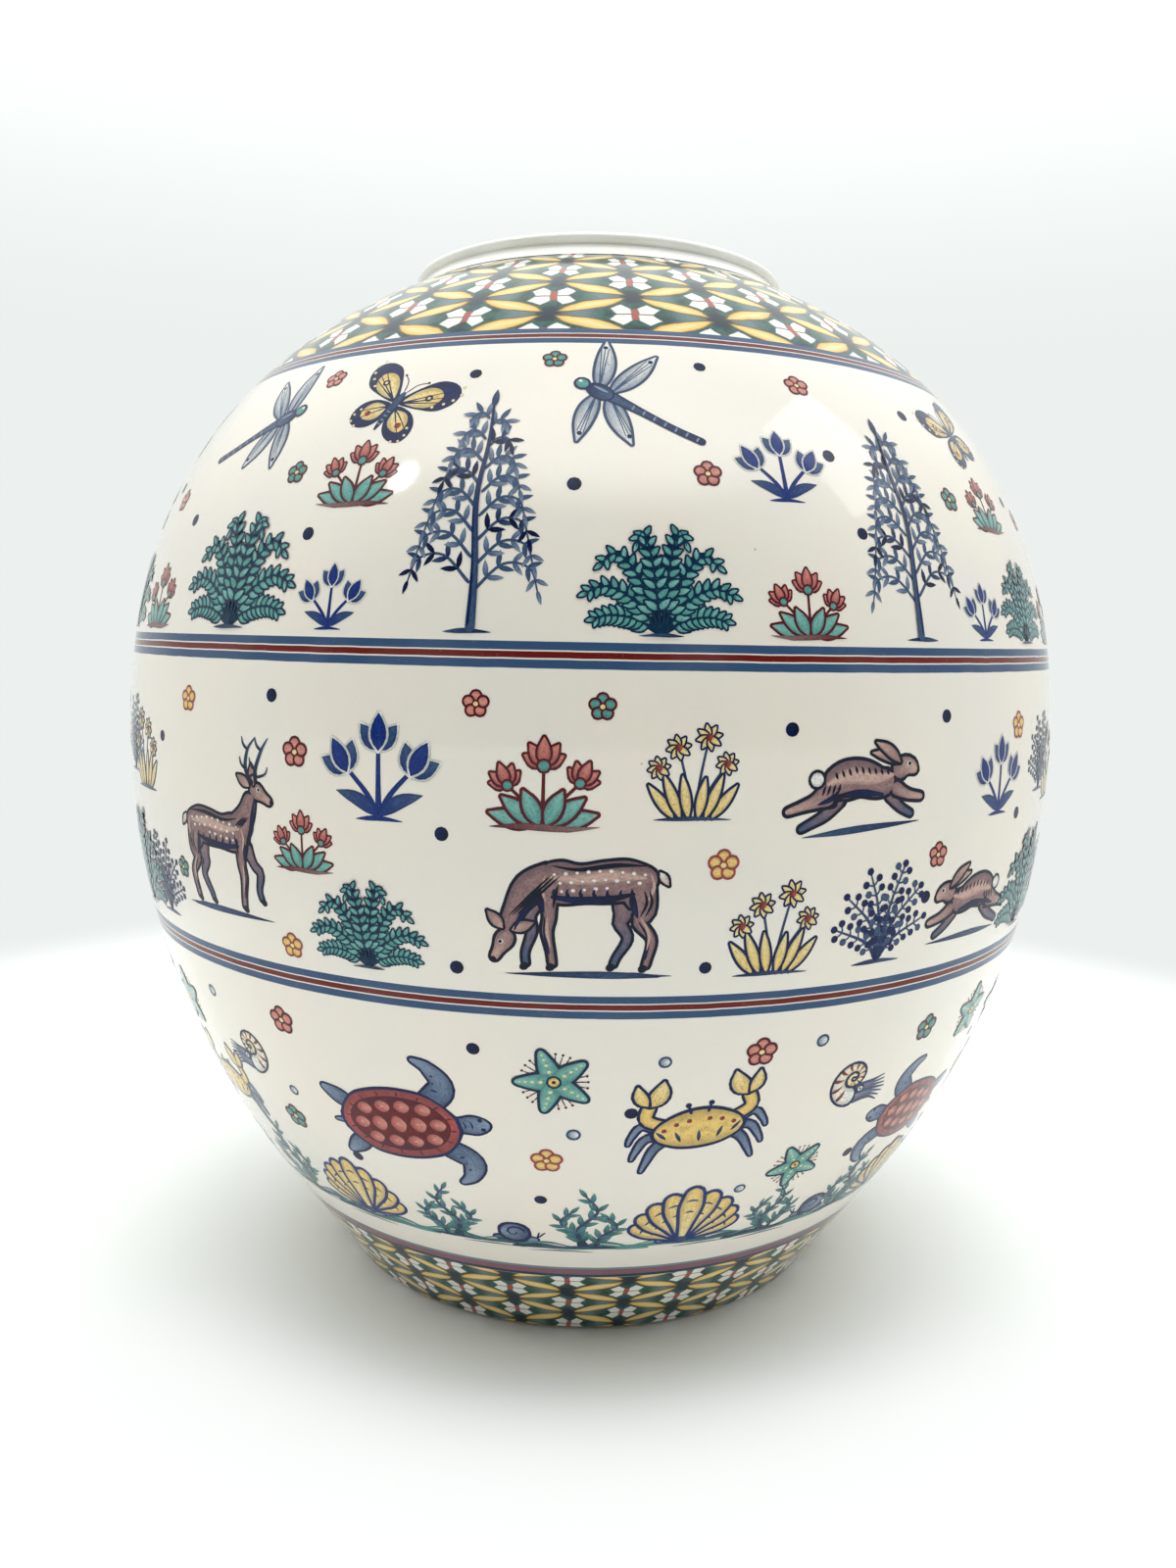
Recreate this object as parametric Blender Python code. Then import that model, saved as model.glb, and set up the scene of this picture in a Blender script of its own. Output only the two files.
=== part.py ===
"""Globe vase: a turned ceramic globe with a low collar, a foot ring and printed bands.

Metres, +Z up. The origin is on the axis, in the plane that the foot ring stands on.
"""

import math

import bpy

# Outline of the glazed outside: widest point, collar root and foot, and how full the curve is between.
BELLY_RADIUS = 0.1250
BELLY_HEIGHT = 0.1443
NECK_RADIUS = 0.0486
NECK_HEIGHT = 0.2623
SHOULDER_FULLNESS = 0.0678
SHOULDER_SPREAD = 0.0427
SHOULDER_SLOPE = math.radians(22.7)
FOOT_RADIUS = 0.0690
HIP_FULLNESS = 0.0806
HEEL_SPREAD = 0.0244
HEEL_SLOPE = math.radians(61.2)

# Printed bands. Border widths run along the surface, and the belly stripes are placed from the widest point.
UPPER_BORDER_WIDTH = 0.0509
LOWER_BORDER_WIDTH = 0.0262
STRIPE_WIDTH = 0.0051
UPPER_BELLY_STRIPE_RISE = 0.0238
LOWER_BELLY_STRIPE_DROP = 0.0447

# Coats and clay.
COAT_THICKNESS = 0.0005
CLAY_WALL = 0.0050
FIT_GAP = 0.0003

# Collar.
COLLAR_RISE = 0.0045
COLLAR_WALL = 0.0042
COLLAR_SPIGOT = 0.0050
LIP_OVERHANG = 0.0014
LIP_ROUNDING = 0.0018

# Foot and floor.
FOOT_RING_HEIGHT = 0.0060
FOOT_RING_WIDTH = 0.0085
FOOT_RING_ROUNDING = 0.0008
FLOOR_RECESS = 0.0045
FLOOR_THICKNESS = 0.0060
BORDER_FOOT_CLEARANCE = 0.0015

# How finely the turned pieces are divided, and how their outline is measured.
SEGMENTS = 48
ROW_LENGTH = 0.0185
LINING_ROW_LENGTH = 0.0340
CURVE_SAMPLES = 160
HALVINGS = 50
ARC_STEPS = 3
MERGE_DISTANCE = 0.00001
ROUNDING_ERROR = 0.000001

IVORY = (0.81, 0.79, 0.73)
BARE_CLAY = (0.72, 0.66, 0.57)
LATTICE_GREEN = (0.20, 0.28, 0.22)
STRIPE_BLUE = (0.13, 0.16, 0.31)
GLAZE_ROUGHNESS = 0.12
CLAY_ROUGHNESS = 0.75


def remove_everything():
    for item in list(bpy.data.objects):
        bpy.data.objects.remove(item, do_unlink=True)


def bezier(points, share):
    """A point on the cubic curve through four control points."""
    weights = ((1 - share) ** 3, 3 * (1 - share) ** 2 * share, 3 * (1 - share) * share ** 2, share ** 3)
    return tuple(sum(w * p[axis] for w, p in zip(weights, points)) for axis in range(2))


def glazed_outline():
    """The outside of the glaze as (radius, height) points, from the foot up to the collar's root."""
    heel = (
        (FOOT_RADIUS, 0.0),
        (FOOT_RADIUS + HEEL_SPREAD * math.cos(HEEL_SLOPE), HEEL_SPREAD * math.sin(HEEL_SLOPE)),
        (BELLY_RADIUS, BELLY_HEIGHT - HIP_FULLNESS),
        (BELLY_RADIUS, BELLY_HEIGHT),
    )
    shoulder = (
        (BELLY_RADIUS, BELLY_HEIGHT),
        (BELLY_RADIUS, BELLY_HEIGHT + SHOULDER_FULLNESS),
        (NECK_RADIUS + SHOULDER_SPREAD * math.cos(SHOULDER_SLOPE),
         NECK_HEIGHT - SHOULDER_SPREAD * math.sin(SHOULDER_SLOPE)),
        (NECK_RADIUS, NECK_HEIGHT),
    )
    steps = range(CURVE_SAMPLES + 1)
    lower = [bezier(heel, step / CURVE_SAMPLES) for step in steps]
    upper = [bezier(shoulder, step / CURVE_SAMPLES) for step in steps]
    return lower + upper[1:]


class Outline:
    """A curve that is walked by its length, and that can be stepped into the wall from."""

    def __init__(self, points):
        self.points = points
        self.lengths = [0.0]
        for start, end in zip(points, points[1:]):
            self.lengths.append(self.lengths[-1] + math.dist(start, end))
        self.length = self.lengths[-1]

    def segment(self, distance):
        """The stretch that holds a distance, and how far along that stretch it is."""
        index = 0
        while index < len(self.lengths) - 2 and self.lengths[index + 1] < distance:
            index += 1
        stretch = self.lengths[index + 1] - self.lengths[index]
        return index, (distance - self.lengths[index]) / stretch

    def direction(self, index):
        start, end = self.points[index], self.points[index + 1]
        size = math.dist(start, end)
        return (end[0] - start[0]) / size, (end[1] - start[1]) / size

    def inside(self, distance, depth):
        """The point at a distance along the curve, and at a depth under the surface."""
        index, share = self.segment(distance)
        start, end = self.points[index], self.points[index + 1]
        along_radius, along_height = self.direction(index)
        radius = start[0] + (end[0] - start[0]) * share
        height = start[1] + (end[1] - start[1]) * share
        return radius - along_height * depth, height + along_radius * depth

    def distance_at(self, height, depth=0.0):
        """How far along the curve the surface at that depth reaches a height."""
        low, high = 0.0, self.length
        for _ in range(HALVINGS):
            middle = (low + high) / 2
            if self.inside(middle, depth)[1] < height:
                low = middle
            else:
                high = middle
        return (low + high) / 2

    def distance_at_radius(self, radius, depth):
        """How far along the shoulder the surface at that depth draws in to a radius."""
        low, high = self.distance_at(BELLY_HEIGHT), self.length
        for _ in range(HALVINGS):
            middle = (low + high) / 2
            if self.inside(middle, depth)[0] > radius:
                low = middle
            else:
                high = middle
        return (low + high) / 2


def rows(start, end, row_length):
    """Distances from start to end in equal steps no longer than a row."""
    count = max(1, math.ceil(abs(end - start) / row_length - ROUNDING_ERROR))
    return [start + (end - start) * step / count for step in range(count + 1)]


def arc(centre, radius, start, end):
    """Points round an arc in the (radius, height) plane, from one angle to another."""
    return [(centre[0] + radius * math.cos(angle), centre[1] + radius * math.sin(angle))
            for angle in rows(start, end, abs(end - start) / ARC_STEPS)]


def band_limits(outline):
    """Where each printed band ends along the outline, from the foot up."""
    foot = outline.distance_at(BORDER_FOOT_CLEARANCE)
    collar = outline.distance_at_radius(hole_radius(), COAT_THICKNESS)
    limits = [foot, foot + LOWER_BORDER_WIDTH, foot + LOWER_BORDER_WIDTH + STRIPE_WIDTH]
    for height in (BELLY_HEIGHT - LOWER_BELLY_STRIPE_DROP, BELLY_HEIGHT + UPPER_BELLY_STRIPE_RISE):
        middle = outline.distance_at(height)
        limits += [middle - STRIPE_WIDTH / 2, middle + STRIPE_WIDTH / 2]
    limits += [collar - UPPER_BORDER_WIDTH - STRIPE_WIDTH, collar - UPPER_BORDER_WIDTH, collar]
    return limits


def material(name, color, roughness):
    finish = bpy.data.materials.new(name)
    finish.use_nodes = True
    shader = finish.node_tree.nodes["Principled BSDF"]
    shader.inputs["Base Color"].default_value = (*color, 1.0)
    shader.inputs["Roughness"].default_value = roughness
    shader.inputs["Metallic"].default_value = 0.0
    return finish


def turned(name, profile, closed, finish):
    """Turn a profile about the vase's axis. It runs down its outer side, from top to bottom."""
    count = len(profile)
    edges = [(index, index + 1) for index in range(count - 1)]
    if closed:
        edges.append((count - 1, 0))
    mesh = bpy.data.meshes.new(name)
    mesh.from_pydata([(radius, 0.0, height) for radius, height in profile], edges, [])
    mesh.materials.append(finish)
    piece = bpy.data.objects.new(name, mesh)
    bpy.context.scene.collection.objects.link(piece)
    screw = piece.modifiers.new("turn", "SCREW")
    screw.steps = SEGMENTS
    screw.render_steps = SEGMENTS
    screw.use_merge_vertices = True
    screw.merge_threshold = MERGE_DISTANCE
    screw.use_smooth_shade = True
    return piece


def band(name, outline, low, high, finish):
    """One printed coat round the vase, between two distances along the outline."""
    bottom = low + FIT_GAP / 2
    top = high - FIT_GAP / 2
    outer = [outline.inside(distance, 0.0) for distance in rows(top, bottom, ROW_LENGTH)]
    inner = [outline.inside(distance, COAT_THICKNESS) for distance in rows(bottom, top, ROW_LENGTH)]
    return turned(name, outer + inner, True, finish)


def foot_inner_radius(outline):
    return outline.inside(0.0, COAT_THICKNESS + FIT_GAP)[0] - FOOT_RING_WIDTH


def hole_radius():
    """The hole in the shoulder that the collar's spigot sits in."""
    return NECK_RADIUS + FIT_GAP


def floor_top():
    return FLOOR_RECESS + FLOOR_THICKNESS


def body_shell(outline, limits, finish):
    face = COAT_THICKNESS + FIT_GAP
    back = face + CLAY_WALL
    top = outline.distance_at_radius(hole_radius(), face)
    heel = outline.distance_at(FOOT_RING_HEIGHT, face)
    marks = [top] + [limit for limit in reversed(limits) if heel < limit < top] + [heel]
    distances = [top]
    for start, end in zip(marks, marks[1:]):
        distances += rows(start, end, ROW_LENGTH)[1:]
    outer = [outline.inside(distance, face) for distance in distances]
    bore = foot_inner_radius(outline)
    inner_low = outline.distance_at(floor_top(), back)
    inner_top = outline.distance_at_radius(hole_radius(), back)
    inner = [outline.inside(distance, back) for distance in rows(inner_low, inner_top, LINING_ROW_LENGTH)]
    heel_face = [(bore, outer[-1][1]), (bore, floor_top())]
    return turned("body_shell", outer + heel_face + inner, True, finish)


def inner_glaze(outline, finish):
    """The lining: it covers the wall and the floor, and its top edge lies under the collar."""
    back = COAT_THICKNESS + FIT_GAP + CLAY_WALL + FIT_GAP
    face = back + COAT_THICKNESS
    outer_low = outline.distance_at(floor_top() + FIT_GAP, back)
    inner_low = outline.distance_at(floor_top() + FIT_GAP + COAT_THICKNESS, face)
    top = outline.distance_at_radius(hole_radius(), face)
    inner = [outline.inside(distance, face) for distance in rows(inner_low, top, LINING_ROW_LENGTH)]
    outer = [outline.inside(distance, back) for distance in rows(top, outer_low, LINING_ROW_LENGTH)]
    middle_top = (0.0, floor_top() + FIT_GAP + COAT_THICKNESS)
    middle_bottom = (0.0, floor_top() + FIT_GAP)
    return turned("inner_glaze", [middle_top] + inner + outer + [middle_bottom], False, finish)


def mouth_collar(finish):
    """A short upright collar on a spigot, with a rolled lip that hangs out a little."""
    bore = NECK_RADIUS - COLLAR_WALL
    lip_radius = NECK_RADIUS + LIP_OVERHANG
    top = NECK_HEIGHT + COLLAR_RISE
    roll = arc((lip_radius - LIP_ROUNDING, top - LIP_ROUNDING), LIP_ROUNDING, math.pi / 2, -math.pi / 4)
    edge = arc((bore + LIP_ROUNDING, top - LIP_ROUNDING), LIP_ROUNDING, math.pi, math.pi / 2)
    root = [(NECK_RADIUS, NECK_HEIGHT + FIT_GAP), (NECK_RADIUS, NECK_HEIGHT - COLLAR_SPIGOT)]
    foot = [(bore, NECK_HEIGHT - COLLAR_SPIGOT)]
    return turned("mouth_collar", roll + root + foot + edge, True, finish)


def foot_ring(outline, finish):
    """The ring that the vase stands on, with softened edges and a bare flat face."""
    face = COAT_THICKNESS + FIT_GAP
    top = FOOT_RING_HEIGHT - FIT_GAP
    outer_radius = outline.inside(0.0, face)[0]
    bore = foot_inner_radius(outline)
    upper = outline.inside(outline.distance_at(top, face), face)
    outer_edge = arc((outer_radius - FOOT_RING_ROUNDING, FOOT_RING_ROUNDING), FOOT_RING_ROUNDING,
                     0.0, -math.pi / 2)
    inner_edge = arc((bore + FOOT_RING_ROUNDING, FOOT_RING_ROUNDING), FOOT_RING_ROUNDING,
                     -math.pi / 2, -math.pi)
    return turned("foot_ring", [upper] + outer_edge + inner_edge + [(bore, top)], True, finish)


def base_floor(outline, finish):
    edge = foot_inner_radius(outline) - FIT_GAP
    profile = [(0.0, floor_top()), (edge, floor_top()), (edge, FLOOR_RECESS), (0.0, FLOOR_RECESS)]
    return turned("base_floor", profile, False, finish)


def main():
    remove_everything()
    outline = Outline(glazed_outline())
    limits = band_limits(outline)
    clay = material("bare_clay", BARE_CLAY, CLAY_ROUGHNESS)
    body_shell(outline, limits, clay)
    mouth_collar(material("collar_glaze", IVORY, GLAZE_ROUGHNESS))
    base_floor(outline, material("floor_glaze", IVORY, GLAZE_ROUGHNESS))
    foot_ring(outline, material("foot_clay", BARE_CLAY, CLAY_ROUGHNESS))
    inner_glaze(outline, material("lining_glaze", IVORY, GLAZE_ROUGHNESS))
    names = ("lower_border", "foot_stripe", "lower_frieze", "lower_belly_stripe", "middle_frieze",
             "upper_belly_stripe", "upper_frieze", "shoulder_stripe", "upper_border")
    for name, low, high in zip(names, limits, limits[1:]):
        color = IVORY
        if name.endswith("border"):
            color = LATTICE_GREEN
        if name.endswith("stripe"):
            color = STRIPE_BLUE
        band(name, outline, low, high, material(name + "_glaze", color, GLAZE_ROUGHNESS))


main()
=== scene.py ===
"""Looks of a globe vase: glazed ground, printed borders and stripes, and three friezes of painted motifs.

Metres, +Z up, in the frame's own place. Angles round the vase start at its front and grow to the right.
"""

import math

import bmesh
import bpy
import numpy as np
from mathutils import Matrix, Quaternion, Vector


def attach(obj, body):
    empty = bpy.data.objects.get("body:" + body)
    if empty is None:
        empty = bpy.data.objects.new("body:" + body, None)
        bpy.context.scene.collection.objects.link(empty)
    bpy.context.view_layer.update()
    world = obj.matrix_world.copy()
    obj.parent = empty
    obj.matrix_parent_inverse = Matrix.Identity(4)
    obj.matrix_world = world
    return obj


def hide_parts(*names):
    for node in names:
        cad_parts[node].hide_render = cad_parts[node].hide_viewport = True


bl_info = {
    "name": "Globe vase",
    "version": (1, 0, 0),
    "blender": (4, 5, 0),
    "location": "3D View > Sidebar > Vase",
    "description": "Glazes and prints a globe vase around its frame",
    "category": "Add Mesh",
}

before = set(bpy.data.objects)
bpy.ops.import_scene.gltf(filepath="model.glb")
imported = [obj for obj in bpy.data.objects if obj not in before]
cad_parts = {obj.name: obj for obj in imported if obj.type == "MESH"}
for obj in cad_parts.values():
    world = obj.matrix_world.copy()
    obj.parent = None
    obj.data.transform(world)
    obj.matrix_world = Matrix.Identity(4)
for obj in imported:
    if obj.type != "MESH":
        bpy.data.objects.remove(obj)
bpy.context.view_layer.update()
BODY = "root"
MILLIMETRE = 0.001
TURN = 2 * math.pi

# How finely things are divided.
CURVE_SAMPLES = 1500
ROW_LENGTH = 0.0022
HIDDEN_ROW_LENGTH = 0.0090
ARC_POINTS = 9
START_SIZE = 0.01
MERGE_DISTANCE = 0.000002
AXIS_REACH = MERGE_DISTANCE * 10
SMOOTH_LIMIT = math.cos(math.radians(50))
REPEATS = 3

# Bake maps, as shares of the map: the gaps between islands, how much of it the strokes first try to fill, the
# widest island, and how much smaller each new try is. The least size of a stroke's island is in millimetres.
MAP_GAP = 0.004
STROKE_MAP_GAP = 0.0016
STROKE_MAP_FILL = 0.95
STROKE_MAP_WIDTH = 0.99
STROKE_MAP_SHRINK = 0.96
LEAST_ISLAND = (0.5, 0.4)

# Painted strokes, in millimetres.
PAINT_CELL = 1.5
PAINT_ROW = 0.9
PAINT_CAP = 2.2
PAINT_LIFT = 0.030
PAINT_STEP = 0.005
PAINT_DEPTH = 0.25
LEAST_HALF_WIDTH = 0.035
LEAST_CAP = 0.15
LOOK_ALONG = 0.05
INK_SHIFT = 3.7

# Painted strokes, as shares and counts.
RIM_WEIGHT = 1.65
CAP_ROWS = (0.08, 0.35)
CURVE_STEPS = 12
LEAST_ROWS = 4
MOST_ROWS = 60

# Glaze: how rough it is and how much that varies, the waves of its surface, its clear coat and how much it
# mirrors. The glaze over a print has less of the last two.
GLAZE_ROUGHNESS = 0.085
ROUGHNESS_SPREAD = 0.03
RIPPLE_CELLS = 26
RIPPLE_STRENGTH = 0.16
RIPPLE_DEPTH = 0.0012
GLAZE_COAT = 0.25
PRINT_COAT = 0.05
SHINE = 0.5
PRINT_SHINE = 0.18

# Each border's lattice: circles round the vase, the angle of the first one, the first row and the rows' rise.
LATTICES = {"upper": (15, 0.0884, 0.2707, 0.0081), "lower": (18, 0.1392, 0.0144, 0.00565)}

# A petal between two circles of the lattice: half its length, and half its thickness, in cells.
PETAL_LENGTH = 0.385
PETAL_THICKNESS = 0.128

# Edges of a lobe of the lattice's flowers: what its distance from each starts at, and gains sideways and upwards.
FLOWER_EDGES = ((0.0457, 0.453, -0.2135), (0.1996, -0.431, -0.2535), (0.0993, -0.4775, 0.148), (-0.011, 0.0, 0.5))

# The floor of the vase: how far apart its rows are, the fillet under it, and the room left at its rim.
FLOOR_ROW = 0.012
FLOOR_FILLET = 0.001
FLOOR_ROOM = 0.004
UNDERSIDE_ROOM = 0.006
FILLET_POINTS = 5

# The collar: where its hollow curve starts under the lip, how far the curve's handles reach sideways and up or
# down, as shares, and how many points the curve and the lip have.
WAIST_OUT = 0.0002
WAIST_DROP = 0.0003
COVE_HANDLES = ((0.42, 0.36), (0.36, 0.30))
COVE_POINTS = 12
LIP_POINTS = 14

# The floor: its size, where it turns into the backdrop when it is lit and when it is seen, and the part in front
# of the foot where painted light, a glow that the camera and reflections see, thins the vase's shadow.
FLOOR_SIDES = 128
FLOOR_RADIUS = 6.0
FLOOR_RIM = 5.2
LIT_FADE = (0.30, 0.50)
SEEN_FADE = (0.28, 0.43)
FRONT_AWAY = (0.085, 0.130)
FRONT_BEFORE = (0.040, 0.100)
FRONT_PAINTED_LIGHT = 0.70

# The surround, by how far a direction points back or up: its light behind and overhead, and where the glaze
# mirrors more of it.
BEHIND = (-0.75, -0.05)
OVERHEAD = (0.20, 0.80)
GLARE_UP = (0.70, 0.86)
GLARE_BACK = (-0.55, 0.10)

# Lamps: where each one stands, its shape, its sizes, the setting that holds its power, and whether the glaze
# mirrors it.
LAMPS = {
    "left_lamp": ((-0.58, -0.38, 0.86), "ELLIPSE", (0.09, 0.12), "left_light", True),
    "right_lamp": ((0.66, -0.10, 0.88), "RECTANGLE", (0.32, 0.40), "right_light", True),
    "soft_lamp": ((0.0, -0.12, 0.85), "RECTANGLE", (0.40, 0.40), "soft_light", False),
}
LAMP_AIM = (0, 0, 0.14)


def linear(value):
    """One channel of a display colour, from 0 to 255, as light."""
    share = value / 255
    return share / 12.92 if share <= 0.04045 else ((share + 0.055) / 1.055) ** 2.4


def paint(red, green, blue):
    return tuple(linear(value) for value in (red, green, blue))


def scaled(color, share, lift=0.0):
    """A colour with its channels scaled, by one share or by one each, and then lifted."""
    return tuple((np.array(color, float) * share + lift).tolist())


# Colours that no setting holds: specks in the glaze, its grey clouds, and ink where it pools or is worn.
SPECK = paint(96, 78, 62)
GREY = (0.62, 0.60, 0.55)
POOLED = (0.006, 0.016, 0.045)
WORN = paint(236, 233, 222)


def length(name, description, default):
    return bpy.props.FloatProperty(name=name, description=description, default=default, unit="LENGTH", precision=4)


def slope(name, description, default):
    return bpy.props.FloatProperty(name=name, description=description, default=math.radians(default),
                                   subtype="ANGLE")


def tint(name, description, red, green, blue):
    return bpy.props.FloatVectorProperty(name=name, description=description, default=paint(red, green, blue),
                                         subtype="COLOR", size=3, min=0, max=1)


def amount(name, description, default):
    return bpy.props.FloatProperty(name=name, description=description, default=default, min=0)


class VaseSizes(bpy.types.PropertyGroup):
    """Sizes of the globe, its bands, its collar and its foot."""

    belly_radius: length("Belly radius", "Widest radius of the glazed globe", 0.1250)
    belly_height: length("Belly height", "Height of the widest point", 0.1443)
    neck_radius: length("Neck radius", "Outer radius of the collar at its root", 0.0486)
    neck_height: length("Neck height", "Height of the collar's root", 0.2623)
    shoulder_fullness: length("Shoulder fullness", "How high the belly stays full above its widest point", 0.0678)
    shoulder_spread: length("Shoulder spread", "How far the shoulder runs flat out of the neck", 0.0427)
    shoulder_slope: slope("Shoulder slope", "How steeply the shoulder leaves the neck", 22.7)
    foot_radius: length("Foot radius", "Radius of the glaze at the table", 0.0690)
    hip_fullness: length("Hip fullness", "How low the belly stays full below its widest point", 0.0806)
    heel_spread: length("Heel spread", "How far the heel runs straight out of the foot", 0.0244)
    heel_slope: slope("Heel slope", "How steeply the heel leaves the foot", 61.2)
    upper_border_width: length("Upper border width", "Along the surface, from the collar down", 0.0509)
    lower_border_width: length("Lower border width", "Along the surface, from the foot up", 0.0262)
    stripe_width: length("Stripe width", "Width of each three line stripe", 0.0051)
    upper_stripe_rise: length("Upper stripe rise", "Stripe's middle above the widest point", 0.0238)
    lower_stripe_drop: length("Lower stripe drop", "Stripe's middle below the widest point", 0.0447)
    coat_thickness: length("Coat thickness", "Thickness of glaze and print", 0.0005)
    clay_wall: length("Clay wall", "Thickness of the turned clay", 0.0050)
    coat_gap: length("Coat gap", "Room between the clay and its coats", 0.0003)
    collar_rise: length("Collar rise", "Height of the collar above its root", 0.0045)
    collar_wall: length("Collar wall", "Thickness of the collar", 0.0042)
    collar_spigot: length("Collar spigot", "How deep the collar sits in the shoulder", 0.0050)
    lip_overhang: length("Lip overhang", "How far the lip hangs out", 0.0014)
    lip_rounding: length("Lip rounding", "Radius of the rolled lip", 0.0011)
    collar_flare: length("Collar flare", "How far the collar's root runs out over the border", 0.0027)
    foot_ring_height: length("Foot ring height", "Height of the clay ring", 0.0060)
    foot_ring_width: length("Foot ring width", "Width of the face that the vase stands on", 0.0085)
    foot_ring_rounding: length("Foot ring rounding", "Softening of the ring's edges", 0.0008)
    floor_recess: length("Floor recess", "How far the floor lies above the table", 0.0045)
    floor_thickness: length("Floor thickness", "Thickness of the floor", 0.0060)
    foot_clearance: length("Foot clearance", "Bare height under the lower border", 0.0015)
    turns: bpy.props.IntProperty(name="Turned faces", description="Faces round each turned piece", default=240)


class VasePaints(bpy.types.PropertyGroup):
    """Colours of the clay, the glaze and the inks."""

    ivory: tint("Ivory glaze", "Clear glaze over the pale ground", 240, 232, 222)
    # Partly painted light: the collar's glaze is whiter than the ivory, so that it shows as bright as the overhead
    # light makes it.
    collar_white_and_painted_light: tint("Collar glaze", "Thicker, whiter glaze on the collar", 253, 251, 247)
    clay: tint("Bare clay", "Unglazed ring under the foot", 205, 194, 172)
    navy: tint("Navy ink", "Darkest outlines and dots", 8, 26, 78)
    pitch: tint("Pitch ink", "Outlines and dark pools of the animals", 5, 10, 28)
    slate: tint("Slate ink", "Trees, wings and ground strokes", 58, 82, 116)
    mist: tint("Pale slate ink", "Light side of slate strokes", 132, 148, 172)
    teal: tint("Teal ink", "Leaves", 88, 154, 146)
    sea: tint("Pale teal ink", "Light side of leaves", 130, 188, 178)
    pine: tint("Deep teal ink", "Outlines of leaves", 14, 48, 74)
    cobalt: tint("Cobalt ink", "Sprigs", 16, 46, 120)
    sun: tint("Yellow ink", "Petals and wings", 236, 200, 116)
    cream: tint("Pale yellow ink", "Light side of yellow", 240, 220, 160)
    maroon: tint("Maroon ink", "Red outlines and lines", 98, 16, 14)
    brick: tint("Brick ink", "Shells and petals", 170, 76, 70)
    blush: tint("Pale brick ink", "Light side of brick", 214, 140, 126)
    plum: tint("Plum ink", "Coats of the animals", 144, 113, 112)
    fawn: tint("Pale plum ink", "Light side of the coats", 200, 164, 152)
    white: tint("White reserve", "Ground left bare inside a motif", 236, 234, 226)
    border_green: tint("Border green", "Cells of the lattice", 34, 88, 80)
    border_slate: tint("Border slate", "Sides of the lattice's cells", 112, 134, 142)
    border_olive: tint("Border olive", "Outlines of the lattice's petals", 92, 84, 50)
    stripe_blue: tint("Stripe blue", "Outer lines of a stripe", 52, 80, 116)
    stripe_red: tint("Stripe red", "Middle line of a stripe", 106, 26, 22)
    stripe_mauve: tint("Stripe mauve", "Broad line of the foot's stripe", 126, 84, 98)


class VaseStage(bpy.types.PropertyGroup):
    """Camera, lamps, floor and backdrop."""

    camera_place: bpy.props.FloatVectorProperty(name="Camera place", description="Where the camera stands",
                                                default=(-0.0003, -0.3431, 0.1722), subtype="TRANSLATION", size=3)
    camera_tilt: slope("Camera tilt", "How far it looks down", 7.27)
    camera_roll: slope("Camera roll", "How far it leans", 1.09)
    lens: bpy.props.FloatProperty(name="Lens", description="Focal length", default=26.0, unit="CAMERA")
    film: bpy.props.FloatProperty(name="Film", description="Long side of the film", default=34.6, unit="CAMERA")
    floor_white: tint("Floor", "Table near the vase", 253, 255, 254)
    backdrop: tint("Backdrop", "Pale ground behind the table", 236, 240, 238)
    near_light: amount("Near light", "Light from the viewer's side, against that from behind", 0.15)
    top_light: amount("Top light", "How much brighter it is overhead", 1.0)
    glare: amount("Glare", "How much more the glaze mirrors from above the viewer", 3.2)
    soft_light: amount("Soft lamp", "Power of the soft lamp overhead", 1.75)
    left_light: amount("Left lamp", "Power of the lamp at the left", 0.35)
    right_light: amount("Right lamp", "Power of the lamp at the right", 0.75)


def sizes():
    return bpy.context.scene.vase_sizes


def paints():
    return bpy.context.scene.vase_paints


def cubic(points, share):
    """Points on the cubic curve through four control points."""
    weights = ((1 - share) ** 3, 3 * (1 - share) ** 2 * share, 3 * (1 - share) * share ** 2, share ** 3)
    return sum(weight[:, None] * np.array(point) for weight, point in zip(weights, points))


class Outline:
    """The glazed outside, walked by its length from the foot up to the collar's root."""

    def __init__(self, size):
        share = np.linspace(0, 1, CURVE_SAMPLES)
        heel = (
            (size.foot_radius, 0.0),
            (size.foot_radius + size.heel_spread * math.cos(size.heel_slope),
             size.heel_spread * math.sin(size.heel_slope)),
            (size.belly_radius, size.belly_height - size.hip_fullness),
            (size.belly_radius, size.belly_height),
        )
        shoulder = (
            (size.belly_radius, size.belly_height),
            (size.belly_radius, size.belly_height + size.shoulder_fullness),
            (size.neck_radius + size.shoulder_spread * math.cos(size.shoulder_slope),
             size.neck_height - size.shoulder_spread * math.sin(size.shoulder_slope)),
            (size.neck_radius, size.neck_height),
        )
        self.points = np.vstack([cubic(heel, share), cubic(shoulder, share)[1:]])
        steps = np.hypot(*np.diff(self.points, axis=0).T)
        self.lengths = np.concatenate([[0.0], np.cumsum(steps)])
        direction = np.gradient(self.points, self.lengths, axis=0)
        direction /= np.hypot(*direction.T)[:, None]
        self.normals = np.column_stack([direction[:, 1], -direction[:, 0]])
        self.belly = self.lengths[CURVE_SAMPLES - 1]

    def at(self, distance, depth=0.0):
        """Radius and height at a distance along the curve, and at a depth under the surface."""
        out = self.normal(distance)
        radius = np.interp(distance, self.lengths, self.points[:, 0])
        height = np.interp(distance, self.lengths, self.points[:, 1])
        return radius - out[0] * depth, height - out[1] * depth

    def normal(self, distance):
        return tuple(np.interp(distance, self.lengths, self.normals[:, axis]) for axis in range(2))

    def distance_at(self, height, depth=0.0):
        return float(np.interp(height, self.at(self.lengths, depth)[1], self.lengths))

    def distance_at_radius(self, radius, depth):
        """How far along the shoulder the surface at that depth draws in to a radius."""
        upper = self.lengths[self.lengths >= self.belly]
        return float(np.interp(-radius, -self.at(upper, depth)[0], upper))


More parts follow.
